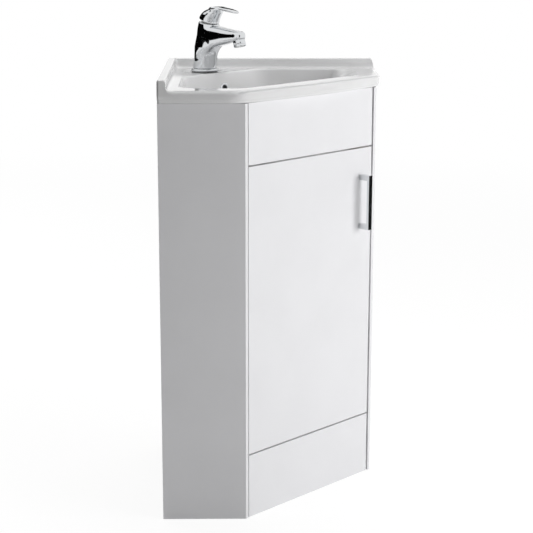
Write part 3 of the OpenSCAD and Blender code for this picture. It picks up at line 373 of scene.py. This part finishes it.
def soften(points, corner, radius, depth):
    """Rounds a square corner of a row: corner is its place, depth the row's distance inside."""
    sign = np.array([1 if corner[0] == 0 else -1, -1 if corner[1] == 0 else 1])
    local = (points - corner) * sign
    middle = depth + radius
    near = (local < middle).all(1)
    away = local[near] - middle
    span = np.maximum(np.linalg.norm(away, axis=1, keepdims=True), 1e-9)
    local[near] = middle + away / span * radius
    return local * sign + corner


END_R, ROOM_R = 4.0, 25.0       # radii in plan: at the square corners, and inside the room's


def outline(depth):
    """The basin's plan outline, drawn in by depth, as a row with a fixed count of points."""
    ends = STEPS + [33, 36, 40, 46, 52, 60]
    wall = ends + list(range(80, 360, 20)) + [RUN - t for t in ends[::-1]]
    left_wall = [(depth, -min(max(t, depth), RUN - depth)) for t in wall]
    end = [(max(t, depth), depth - RUN) for t in STEPS + list(np.linspace(34, left_mid[0], 9))]
    turn = [left_mid + (CORNER_R - depth) * np.array([math.cos(a), math.sin(a)])
            for a in np.linspace(-math.pi / 2, bow_start, 16)[1:]]
    half = [bow_mid + (BOW_R - depth) * np.array([math.cos(a), math.sin(a)])
            for a in np.linspace(bow_start, -math.pi / 4, 26)[1:]]
    first = np.array(left_wall + end[1:] + [tuple(p) for p in turn + half])
    second = -first[::-1, ::-1][1:-1]
    points = np.vstack([first, second])
    for corner in ((0.0, -RUN), (RUN, 0.0)):
        points = soften(points, corner, max(END_R - depth, 0.0), depth)
    return soften(points, (0.0, 0.0), END_R + (ROOM_R - END_R) * depth / FLAT[-1], depth)


MITRE = 14.0                    # width over which the two upstands run into each other
RADIUS_RUN = 20.0               # over this the edge's radius grows from the upstand's to the lip's
# A shallow throat parts the deck from the lip's rolled edge
THROAT_MID, THROAT_WIDE, THROAT_DEEP = 4.0, 1.3, 1.3


def top_height(points, depth):
    """Height of the glaze: deck, upstands with their scoop, and the rounded outer edge."""
    a, b = points[:, 0], -points[:, 1]
    w = np.minimum(a, b) - np.maximum(MITRE - abs(a - b), 0) ** 2 / MITRE / 4
    crest = UPSTAND_H - UPSTAND_R + np.sqrt(np.clip(
        UPSTAND_R ** 2 - np.maximum(w - UPSTAND_T + UPSTAND_R, 0) ** 2, 0, None))
    scoop = SCOOP_R - np.sqrt(np.clip(SCOOP_R ** 2 - (UPSTAND_T + SCOOP_R - w) ** 2, 0, None))
    rise = np.where(w <= UPSTAND_T, crest, np.where(w < UPSTAND_T + SCOOP_R, scoop, 0.0))
    step = np.clip((w - UPSTAND_T) / RADIUS_RUN, 0, 1)
    radius = UPSTAND_R + (LIP_R - UPSTAND_R) * step * step * (3 - 2 * step)
    drop = radius - np.sqrt(np.clip(radius ** 2 - np.maximum(radius - depth, 0) ** 2, 0, None))
    throat = THROAT_DEEP * math.exp(-((depth - THROAT_MID) / THROAT_WIDE) ** 2) * step
    return DECK + rise - drop - throat


shape = bmesh.new()


def row(points, heights):
    """Adds a row of points in plan to the basin, at one height or at a height for each."""
    heights = np.broadcast_to(heights, len(points))
    return [shape.verts.new((x, y, z)) for (x, y), z in zip(points, heights)]


def skin_rows(rows):
    """Joins closed rows of one count into a band of faces."""
    for upper, lower in zip(rows, rows[1:]):
        for i in range(len(upper)):
            j = (i + 1) % len(upper)
            shape.faces.new((upper[i], upper[j], lower[j], lower[i]))


WALL_SHARE = 0.3                # of the lip's turning in that is left where it meets a wall


def lip_row(depth, height):
    """A row of the lip's rounded face. Against the walls the face stays nearly upright."""
    points = outline(depth)
    walls = np.abs(points) <= depth + 1e-6
    return row(np.where(walls, points * WALL_SHARE, points), LIP_FOOT + height)


edge_points = outline(0)
edge_top = top_height(edge_points, 0)
# Below its widest line the lip turns in, past the faint step where the mould parted
LIP_FACE = [(4.6, 0), (3.6, 0), (3.0, 0.35), (2.6, 1.2), (2.2, 3.4), (2.0, 4.0), (1.35, 4.4),
            (0.9, 6), (0.45, 8.5), (0.12, 11.5), (0.01, 13.5)]
rows = [lip_row(depth, height) for depth, height in LIP_FACE]
rows += [row(edge_points, edge_top - 0.8), row(edge_points, edge_top)]
rows += [row(outline(d), top_height(outline(d), d)) for d in STEPS[1:]]
skin_rows(rows[::-1])

# The bowl: rows at fixed directions from its middle, from the rim down to the waste and back
# up on the outside
BOWL_MARGIN, BOWL_FAR = 36.0, 371.0         # from the walls to the bowl's near and far sides
BOWL_REAR, BOWL_FRONT = 156.0, 367.994      # along the diagonal
BOWL_R = 45.0
BOWL_MID = diagonal(0, (BOWL_REAR + BOWL_FRONT) / 2)[:2]
MID_INSET, MID_DEPTH = 17.0, 68.0           # the wall slopes in by one over the other
WALL_SLOPE = math.atan2(MID_INSET, MID_DEPTH)
FLOOR_DEPTH = 98.0
FLAT_U, FLAT_R = 55.0, 42.0                 # the floor's flat part: a disc to each side
RIM_R = 4.5                                 # radius of the bowl's rim
SHELL, WALL_SHELL = 9.0, 7.0                # thickness of the bowl's floor and of its wall
WASTE_N, WASTE_R = 254.997, 23.0
SEAT_R, SEAT_Z = 33.0, DECK - 100
BOSS_R, BOSS_Z = 36.0, 675.0
END_EASE, EASE_DEPTH = 42.0, 13.0           # how much gentler the bowl's two far ends are
END_FROM, END_SPAN = 290.0, 75.0            # where that starts, and the way to its full measure
COUNT = 288                                 # points in a row round the bowl


def hull_of_discs(centres, radius):
    """A taut band round discs of one radius: directions and distances from the bowl's middle,
    and the band's points in order."""
    turn = np.linspace(0, 2 * math.pi, 1441)[:-1]
    ways = np.stack([np.cos(turn), np.sin(turn)], 1)
    pick = np.argmax(ways @ centres.T, 1)
    points = centres[pick] + radius * ways
    closed = np.vstack([points, points[:1]])
    dense = np.vstack([np.linspace(p, q, 40, endpoint=False) for p, q in zip(closed, closed[1:])])
    away = dense - BOWL_MID
    angle = np.arctan2(away[:, 1], away[:, 0])
    order = np.argsort(angle)
    return angle[order], np.linalg.norm(away, axis=1)[order], dense


def bowl_centres(inset):
    """Centres of the bowl's rounded corners, drawn in by inset."""
    i, far, rear, front = inset, BOWL_FAR, BOWL_REAR / K, BOWL_FRONT / K
    left = [(BOWL_MARGIN + i, BOWL_MARGIN + i - rear - i / K), (BOWL_MARGIN + i, i - far),
            (front - i / K - far + i, i - far)]
    return np.array(left + [(-y, -x) for x, y in left])


def distances(centres, radius):
    """From the bowl's middle to a taut band, in each of the bowl's directions."""
    angle, span, _ = hull_of_discs(centres, radius)
    return np.interp(directions, angle, span, period=2 * math.pi)


_, _, rim = hull_of_discs(bowl_centres(BOWL_R), BOWL_R)
steps = np.linalg.norm(np.diff(rim, axis=0, append=rim[:1]), axis=1)
travel = np.cumsum(steps) - steps
marks = np.interp(np.linspace(0, steps.sum(), COUNT, endpoint=False), travel, np.arange(len(rim)))
picked = rim[marks.astype(int)] - BOWL_MID
directions = np.unwrap(np.arctan2(picked[:, 1], picked[:, 0]))
ways = np.stack([np.cos(directions), np.sin(directions)], 1)
rim_place = BOWL_MID + picked
far_side = np.maximum(rim_place[:, 0], -rim_place[:, 1])
far_side = np.clip((far_side - END_FROM) / END_SPAN, 0, 1)
heading = np.roll(rim_place, -1, 0) - np.roll(rim_place, 1, 0)
heading /= np.linalg.norm(heading, axis=1, keepdims=True)
# How squarely the wall stands across the end of its lobe: the side walls stay crisp
across = np.where(rim_place[:, 0] > -rim_place[:, 1], heading[:, 1], heading[:, 0])
far_side = far_side ** 2 * (3 - 2 * far_side) * np.clip(across * 1.4 - 0.2, 0, 1)


def bowl_row(inset, depth, thickness=0.0):
    """A row round the bowl: inset from the rim's outline, at a depth under the deck."""
    reach = distances(bowl_centres(inset + BOWL_R - thickness), BOWL_R)
    ease = END_EASE * far_side * (1 - math.exp(-max(depth, 0) / EASE_DEPTH)) if depth > 0 else 0.0
    return row(BOWL_MID + ways * (reach - ease)[:, None], DECK - depth)


def floor_row(angle, thickness=0.0):
    """A row between the bowl's wall, at no angle, and its floor, at a quarter turn. With a
    thickness it runs on the outside."""
    even = 0.45 * angle / (math.pi / 2)
    share = 0.55 * (1 - math.cos(angle)) + even
    fall = 0.55 * math.sin(angle) + even
    wall = distances(bowl_centres(MID_INSET + BOWL_R - thickness), BOWL_R)
    wall = wall - END_EASE * far_side
    mid_n = (BOWL_REAR + BOWL_FRONT) / 2
    floor_mids = np.array([diagonal(u, mid_n)[:2] for u in (-FLAT_U, FLAT_U)])
    flat = distances(floor_mids, FLAT_R + thickness)
    depth = MID_DEPTH + (FLOOR_DEPTH - MID_DEPTH) * fall + thickness * 0.9
    return row(BOWL_MID + ways * (wall + (flat - wall) * share)[:, None], DECK - depth)


waste_mid = diagonal(0, WASTE_N)[:2]


def waste_ring(radius):
    """Points round the waste, in the same directions from the bowl's middle."""
    shift = BOWL_MID - waste_mid
    along = ways @ shift
    reach = -along + np.sqrt(along ** 2 - shift @ shift + radius ** 2)
    return BOWL_MID + ways * reach[:, None]


rim_start = -RIM_R * math.tan((math.pi / 2 - WALL_SLOPE) / 2)
bowl = [bowl_row(rim_start - 0.5, 0), bowl_row(rim_start - 0.05, 0)]
for a in np.linspace(0, math.pi / 2 - WALL_SLOPE, 8)[1:]:
    bowl.append(bowl_row(rim_start + RIM_R * math.sin(a), RIM_R * (1 - math.cos(a))))
for depth in (6, 9, 13, 18, 24, 31, 39, 48, 58):
    bowl.append(bowl_row(depth * math.tan(WALL_SLOPE), depth))
for a in np.linspace(0, math.pi / 2, 13):
    bowl.append(floor_row(a))
last = np.array([v.co[:2] for v in bowl[-1]])
seat = waste_ring(SEAT_R + 1)
for t in (0.25, 0.5, 0.75, 1.0):
    fall = FLOOR_DEPTH + (DECK - SEAT_Z - FLOOR_DEPTH) * math.sin(t * math.pi / 2)
    bowl.append(row(last + (seat - last) * t, DECK - fall))
WASTE_BORE = [(SEAT_R, SEAT_Z), (WASTE_R + 0.6, SEAT_Z), (WASTE_R, SEAT_Z - 0.6),
              (WASTE_R, BOSS_Z + 0.5), (WASTE_R + 0.5, BOSS_Z), (BOSS_R - 1.5, BOSS_Z),
              (BOSS_R, BOSS_Z + 1.5), (BOSS_R, BOSS_Z + 15)]
bowl += [row(waste_ring(radius), z) for radius, z in WASTE_BORE]
for a in np.linspace(math.pi / 2, 0, 9):
    bowl.append(floor_row(a, SHELL))
for depth in (58, 44, 32, 24, DECK - LIP_FOOT + 0.6):
    bowl.append(bowl_row(depth * math.tan(WALL_SLOPE), depth, WALL_SHELL))
bowl.append(bowl_row(rim_start, DECK - LIP_FOOT, WALL_SHELL))
skin_rows(bowl[::-1])

# The tap hole, through the deck
TAP_N, TAP_HOLE_R = 107.0, 17.5
tap_mid = diagonal(0, TAP_N)[:2]
turns = np.linspace(0, 2 * math.pi, 48, endpoint=False)
circle = np.array([(math.cos(a), math.sin(a)) for a in turns])
skin_rows([row(tap_mid + TAP_HOLE_R * circle, z) for z in (LIP_FOOT, DECK)])
bmesh.ops.remove_doubles(shape, verts=shape.verts, dist=1e-4)


def duct_block(clay, half, n_low, n_high, z_low, z_high, ease=4):
    """A closed block with eased edges, square to the diagonal. Half is half its width."""
    block = bmesh.ops.create_cube(clay, size=1)["verts"]
    for vertex in block:
        x, y, z = vertex.co
        vertex.co = diagonal(2 * half * x, n_low + (y + 0.5) * (n_high - n_low),
                             z_low + (z + 0.5) * (z_high - z_low))
    faces = [face for face in clay.faces if face.verts[0] in block]
    bmesh.ops.recalc_face_normals(clay, faces=faces)
    edges = [edge for edge in clay.edges if edge.verts[0] in block]
    bmesh.ops.bevel(clay, geom=edges, offset=ease, segments=3, profile=0.5, affect="EDGES")


# The overflow's duct runs under the bowl to the waste
DUCT_HALF, DUCT_FOOT = 20, 677
duct_block(shape, DUCT_HALF, n_low=137, n_high=WASTE_N - 30, z_low=DUCT_FOOT, z_high=697)
for level, up in ((DECK, 1), (LIP_FOOT, -1)):
    open_edges = [e for e in shape.edges
                  if e.is_boundary and all(abs(v.co.z - level) < 1e-4 for v in e.verts)]
    fill = bmesh.ops.triangle_fill(shape, edges=open_edges, use_beauty=True, normal=(0, 0, up))
    # the fill comes in another order on each run, so its triangles are made again in a fixed one
    faces = [item for item in fill["geom"] if isinstance(item, bmesh.types.BMFace)]
    shape.verts.index_update()
    triangles = []
    for face in faces:
        corners = [vertex.index for vertex in face.verts]
        first = corners.index(min(corners))
        triangles.append(corners[first:] + corners[:first])
    bmesh.ops.delete(shape, geom=faces, context="FACES")
    shape.verts.ensure_lookup_table()
    for corners in sorted(triangles):
        shape.faces.new([shape.verts[i] for i in corners])
bmesh.ops.recalc_face_normals(shape, faces=shape.faces)

# The upstands' free ends slope back as they rise
END_DRAFT = 7.0                 # how far, at the top
END_FOOT, END_RUN = 797.0, 60.0     # height at which that starts, and the length that it bends
for vertex in shape.verts:
    rise = max((vertex.co.z - END_FOOT) / (DECK + UPSTAND_H - END_FOOT), 0)
    for axis, sign in ((0, 1), (1, -1)):
        near = min(max((vertex.co[axis] * sign - RUN + END_RUN) / END_RUN, 0), 1)
        vertex.co[axis] -= sign * END_DRAFT * rise * near ** 2
bmesh.ops.scale(shape, vec=(MM, MM, MM), verts=shape.verts)
basin_mesh = bpy.data.meshes.new("corner_basin")
shape.to_mesh(basin_mesh)
shape.free()
basin_mesh.shade_smooth()
basin_mesh.materials.append(glaze)
basin = bpy.data.objects.new("corner_basin", basin_mesh)
scene.collection.objects.link(basin)

# The overflow hole stands square to the bowl's rear wall
OVERFLOW_DEPTH, OVERFLOW_R = 30, 7.5
facing = Matrix.Rotation(-math.pi / 4, 4, "Z")      # turns x out of the room's corner
overflow_n = BOWL_REAR + OVERFLOW_DEPTH * math.tan(WALL_SLOPE)
overflow_place = (Matrix.Translation(diagonal(0, overflow_n, DECK - OVERFLOW_DEPTH) * MM)
                  @ facing @ Matrix.Rotation(math.pi / 2 - WALL_SLOPE, 4, "Y"))


def turned(name, profile, place, material, sides=72):
    """A turned piece: a closed profile of (radius, height) in mm, spun about its axis."""
    spin = bmesh.new()
    loops = []
    for i in range(sides):
        a = 2 * math.pi * i / sides
        loops.append([spin.verts.new((r * math.cos(a) * MM, r * math.sin(a) * MM, z * MM))
                      for r, z in profile])
    for one, two in zip(loops, loops[1:] + loops[:1]):
        for k in range(len(profile)):
            n = (k + 1) % len(profile)
            spin.faces.new((one[k], two[k], two[n], one[n]))
    bmesh.ops.remove_doubles(spin, verts=spin.verts, dist=1e-6)
    bmesh.ops.recalc_face_normals(spin, faces=spin.faces)
    mesh = bpy.data.meshes.new(name)
    spin.to_mesh(mesh)
    spin.free()
    mesh.transform(place)
    mesh.shade_smooth()
    mesh.set_sharp_from_angle(angle=math.radians(50))
    mesh.materials.append(material)
    made = bpy.data.objects.new(name, mesh)
    scene.collection.objects.link(made)
    return made


# Behind the bowl the duct stands upright and hollow, so the overflow hole looks black
duct = bmesh.new()
duct_block(duct, DUCT_HALF, n_low=136, n_high=160, z_low=DUCT_FOOT, z_high=LIP_FOOT + 4)
bmesh.ops.recalc_face_normals(duct, faces=duct.faces)
outside = set(duct.faces)
duct_block(duct, DUCT_HALF - 5, n_low=141, n_high=154.5, z_low=684, z_high=779, ease=3)
hollow = [face for face in duct.faces if face not in outside]
bmesh.ops.recalc_face_normals(duct, faces=hollow)
bmesh.ops.reverse_faces(duct, faces=hollow)
bmesh.ops.scale(duct, vec=(MM, MM, MM), verts=duct.verts)
duct_mesh = bpy.data.meshes.new("overflow_duct")
duct.to_mesh(duct_mesh)
duct.free()
duct_mesh.shade_smooth()
duct_blank = bpy.data.objects.new("overflow_duct", duct_mesh)
scene.collection.objects.link(duct_blank)

# Casting and duct are bored apart and then joined: where they overlap, one cut leaves gaps
drill = turned("overflow_drill", [(0, -16), (OVERFLOW_R, -16), (OVERFLOW_R, 12), (0, 12)],
               overflow_place, glaze)
whole = bmesh.new()
for blank in (basin, duct_blank):
    bore = blank.modifiers.new("overflow_hole", "BOOLEAN")
    bore.object, bore.operation, bore.solver = drill, "DIFFERENCE", "EXACT"
    bpy.context.view_layer.update()
    bored = blank.evaluated_get(bpy.context.evaluated_depsgraph_get())
    whole.from_mesh(bpy.data.meshes.new_from_object(bored))
    blank.modifiers.clear()
whole.to_mesh(basin_mesh)
whole.free()
for blank in (duct_blank, drill):
    bpy.data.objects.remove(blank)
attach(basin, "cabinet")
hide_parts("basin", "basin_bowl")

# ---- Tap body and foot
# Brass, cast hollow, ground, polished and chrome plated: a body that leans over the bowl, the
# spout that sweeps out of it with a broad arch beneath, and a turned foot on the deck.
LEAN = math.radians(8)
BODY_R, BODY_DRAFT, BODY_LONG = 23.5, 3.0, 103.0    # it narrows by the draft over its length
OUTLET_X, OUTLET_Z = 95.0, 66.0
FOOT_TOP = 5.0
tap_place = Matrix.Translation(diagonal(0, TAP_N, DECK) * MM) @ facing


def join(a, b, blend):
    """Distance to two joined solids, with a fillet about as wide as blend."""
    h = np.clip(0.5 + 0.5 * (b - a) / blend, 0, 1)
    return b * (1 - h) + a * h - blend * h * (1 - h)


def cut(a, b, blend):
    """Distance to what lies inside both a and b, with an eased edge."""
    return -join(-a, -b, blend)


def skin(name, distance, low, high, step, material):
    """Meshes the surface where distance is zero, in the tap's own upright frame. One vertex per
    cell is pulled onto the surface, and the normals come from the distance itself."""
    axes = [np.arange(a, b + step, step) for a, b in zip(low, high)]
    inside = distance(*np.meshgrid(*axes, indexing="ij")) < 0
    cells = np.array(inside.shape) - 1
    corners = sum(inside[i:i + cells[0], j:j + cells[1], k:k + cells[2]].astype(int)
                  for i in (0, 1) for j in (0, 1) for k in (0, 1))
    mixed = (corners > 0) & (corners < 8)
    number = np.full(mixed.shape, -1)
    number[mixed] = np.arange(mixed.sum())
    points = np.array(low) + (np.argwhere(mixed) + 0.5) * step

    def gradient(p, h=0.04):
        """Slope of the distance, from its values a little to each side."""
        sides = [(distance(*(p + h * e).T) - distance(*(p - h * e).T)) / (2 * h)
                 for e in np.eye(3)]
        return np.stack(sides, 1)

    for _ in range(7):
        slope = gradient(points)
        steep = np.maximum((slope ** 2).sum(1, keepdims=True), 0.05)
        pull = distance(*points.T)[:, None] * slope / steep
        points = points - np.clip(pull, -step / 2, step / 2)
    faces = []
    for axis in range(3):
        order = (axis, (axis + 1) % 3, (axis + 2) % 3)
        filled = np.moveaxis(inside, order, (0, 1, 2))
        cell = np.moveaxis(number, order, (0, 1, 2))
        i, j, k = np.nonzero(filled[1:, 1:-1, 1:-1] != filled[:-1, 1:-1, 1:-1])
        quad = np.stack([cell[i, j, k], cell[i, j + 1, k], cell[i, j + 1, k + 1],
                         cell[i, j, k + 1]], 1)
        outwards = filled[i, j + 1, k + 1]
        faces.append(np.where(outwards[:, None], quad, quad[:, ::-1]))
    normals = gradient(points)
    normals /= np.linalg.norm(normals, axis=1, keepdims=True)
    mesh = bpy.data.meshes.new(name)
    mesh.from_pydata((points * MM).tolist(), [], np.vstack(faces).tolist())
    mesh.shade_smooth()
    mesh.normals_split_custom_set_from_vertices(normals.tolist())
    mesh.transform(tap_place)
    mesh.materials.append(material)
    made = bpy.data.objects.new(name, mesh)
    scene.collection.objects.link(made)
    return made


def leaning(x, z):
    """Across and along the body's leaning axis."""
    return x * math.cos(LEAN) - z * math.sin(LEAN), x * math.sin(LEAN) + z * math.cos(LEAN)


def at_outlet(x, z):
    """Across and along the outlet's axis, which leans the other way."""
    dx, dz = x - OUTLET_X, z - OUTLET_Z
    return dx * math.cos(LEAN) + dz * math.sin(LEAN), dz * math.cos(LEAN) - dx * math.sin(LEAN)


def taper(x, y, x_a, r_a, x_b, r_b):
    """Distance in plan to a taut band round two circles on the x axis."""
    slope = (r_a - r_b) / (x_b - x_a)
    t = np.clip((x - x_a + slope * abs(y)) / (x_b - x_a), 0, 1)
    return np.hypot(x - x_a - t * (x_b - x_a), y) - r_a - t * (r_b - r_a)


def body_distance(x, y, z):
    """Distance to the tap's body with its spout."""
    lx, lz = leaning(x, z)
    body = np.hypot(lx, y) - (BODY_R - BODY_DRAFT * (lz + 8) / BODY_LONG)
    body = cut(cut(body, lz - 95, 1.6), FOOT_TOP - z, 1.6)
    # the spout's sides fall away above and below its middle line, more so towards the nose
    belly = (z - 65.8 - 0.072 * x) ** 2 / np.interp(x, [10, 40, 60, 90], [260, 150, 70, 40])
    spout = taper(x, y, x_a=10.5, r_a=20.9, x_b=93.6, r_b=14.0) + belly
    # its top falls and its underside rises towards the nose, both with edges that tighten
    spout = cut(spout, z - (92.2 - 0.106 * x), np.interp(x, [30, 80, 95], [10, 8, 4.5]))
    spout = cut(spout, 39.5 + 0.25 * x - z, np.interp(x, [30, 70, 95], [9, 7, 4]))
    # the fillet between body and spout is narrow on top and opens into the arch beneath
    solid = join(body, spout, 3.5 + 14 * np.clip((70 - z) / 22, 0, 1))
    solid = cut(solid, FOOT_TOP - z, 1.2)
    seat = np.maximum(np.hypot(lx, y) - 17.5, 60 - lz)
    ox, oz = at_outlet(x, z)
    bore = np.maximum(np.hypot(ox, y) - 11.1, oz - 7)
    return np.maximum(solid, -np.minimum(seat, bore))


body = skin("tap_casting", body_distance, (-31, -30, -1.5), (112, 30, 101), 1.15, chrome)
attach(body, "cabinet")
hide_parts("tap_body")

QUARTER = 1.57
foot_edge = [(26.2 + 0.8 * math.cos(a), 1.1 + 0.8 * math.sin(a))
             for a in np.linspace(-QUARTER, 0, 5)]
foot_edge += [(25.0 + 2.0 * math.cos(a), FOOT_TOP - 2.0 + 2.0 * math.sin(a))
              for a in np.linspace(0, QUARTER, 8)]
foot = turned("tap_foot", [(17, 1.6), (25.3, 1.6), (25.3, 0.3), (25.8, 0.3)] + foot_edge
              + [(23.6, FOOT_TOP), (23.0, FOOT_TOP - 0.8), (17, FOOT_TOP - 0.8)],
              tap_place, chrome, 96)
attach(foot, "cabinet")
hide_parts("tap_body")

# ---- Lever
# Cast and chrome plated like the body: a dome that flares forward into a thin flat blade.
# The neck is given as (height, middle, radius) along the leaning axis.
NECK = np.array([(92, 0, 20.5), (99.9, 0, 20.4), (107, 2, 20.3), (112.8, 5.5, 19.7),
                 (117, 9, 18.5), (120, 12, 17), (123, 17, 15.8), (126, 20, 15.5), (140, 24, 15)])


def lever_distance(x, y, z):
    """Distance to the lever at rest."""
    lx, lz = leaning(x, z)
    middle = np.interp(lz, NECK[:, 0], NECK[:, 1])
    radius = np.interp(lz, NECK[:, 0], NECK[:, 2])
    neck = (np.hypot(lx - middle, y) - radius) * 0.9
    under = 126.4 + 0.02 * np.clip(lx - 45, 0, None)
    blade = cut(taper(lx, y, x_a=20, r_a=15.5, x_b=68, r_b=8.0), under - lz, 2.0)
    solid = join(neck, blade, 5.0)
    # the crest is flat in the middle, falls off to the dome's back, the blade's tip and the sides
    back = 0.0083 * np.clip(30 - lx, 0, None) ** 2
    tip = 0.0018 * np.clip(lx - 45, 0, None) ** 2
    crest = 131.8 - back - tip
    crest = crest - 0.004 * y ** 2
    solid = cut(solid, lz - crest, 2.6)
    solid = cut(solid, 100 - 0.195 * lx - lz, 1.2)
    hollow = np.maximum(np.hypot(lx, y) - 16.5, lz - 108)
    return np.maximum(solid, -hollow)


lever = skin("tap_lever_casting", lever_distance, (-10, -23, 88), (97, 23, 132), 0.95, chrome)
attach(lever, "tap_handle")
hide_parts("tap_lever")

# ---- Overflow ring
# Turned brass, polished and chrome plated: a round-nosed ring with a sleeve in the overflow hole.
nose = [(8.6 + 2.1 * math.cos(a), 0.1 + 1.5 * math.sin(a)) for a in np.linspace(0, math.pi, 13)]
ring = turned("overflow_trim", nose + [(6.5, -6.0), (7.45, -6.0), (7.45, 0.1)],
              overflow_place, chrome)
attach(ring, "cabinet")
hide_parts("overflow_ring")

# ---- Waste and its plug
# Turned and chrome plated like the ring: the waste with its flange, the nut that clamps it from
# below, and a plug with a slightly domed cap that rises on a click.
CAP_R, CAP_TOP = 30, 711.5
dome = [(28.6 * t, CAP_TOP - 1.1 * t * t) for t in np.linspace(0, 1, 10)]
edge = [(28.6 + 1.4 * math.sin(a), 709.0 + 1.4 * math.cos(a))
        for a in np.linspace(0.3, math.pi / 2, 6)]
under = [(CAP_R, 707.9), (CAP_R - 0.4, 707.5), (4, 707.5), (4, 656), (0, 656)]
plug = turned("waste_plug_cap", dome + edge + under,
              Matrix.Translation(diagonal(0, WASTE_N) * MM), chrome, 96)
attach(plug, "plug")
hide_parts("waste_plug")
for name in ("waste_body", "waste_backnut"):
    eased(name, chrome, 0.4)

# ---- Aerator shell
# Turned brass, chrome plated, with a groove round it and a rolled lower edge. It screws into the
# spout's outlet and points a little forward.
AERATOR_TILT = math.radians(15)
aerator_place = (tap_place @ Matrix.Translation((0.0955, 0, 0.0655))
                 @ Matrix.Rotation(-AERATOR_TILT, 4, "Y"))
bore_side = [(10.2, 4), (10.2, -12.2)]
rolled = [(10.6, -12.8), (11.2, -13), (11.8, -12.6), (12, -12)]
groove = [(12, -9.4), (11.7, -9.1), (11.7, -8.7), (12, -8.4)]
neck = [(12, -1.2), (11.6, -0.4), (10.9, 0), (10.9, 4)]
shell = turned("aerator_shell_turned", bore_side + rolled + groove + neck, aerator_place, chrome)
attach(shell, "cabinet")
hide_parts("aerator_shell")

# ---- Trap, cartridge, turret and aerator insert
# Injection-moulded polypropylene, off-white and satin, with the fine texture of the mould. The
# aerator's insert has a ribbed face that breaks up the water.
plastic, tree, shader, where = surface("moulded_polypropylene", "#E9E9E4", 0.38)
flow = put(tree, "TexNoise", {"Vector": where, "Scale": 1 / (5 * MM), "Detail": 2})
mould = put(tree, "TexNoise", {"Vector": where, "Scale": 1 / (1.0 * MM), "Detail": 2})
finish(tree, shader, roughness=(flow, 0.32, 0.45), relief=(mould, 0.03))
for name in ("trap_inlet_nut", "trap_inlet_tube", "trap_body", "trap_cup", "trap_outlet_nut",
             "tap_cartridge", "cartridge_turret"):
    eased(name, plastic, 0.3)
FACE_Z, RIB, RIB_PITCH = -12.1, 0.4, 1.2
ribs = [(0, -11.6), (RIB_PITCH, FACE_Z)]
for i in range(1, 9):
    height = FACE_Z + RIB * (i % 2)
    ribs += [(RIB_PITCH * i + 0.1, height), (RIB_PITCH * i + 0.9, height)]
insert = turned("aerator_insert_moulded", ribs + [(10.15, -11), (10.15, -4), (0, -4)],
                aerator_place, plastic)
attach(insert, "cabinet")
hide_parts("aerator_insert")
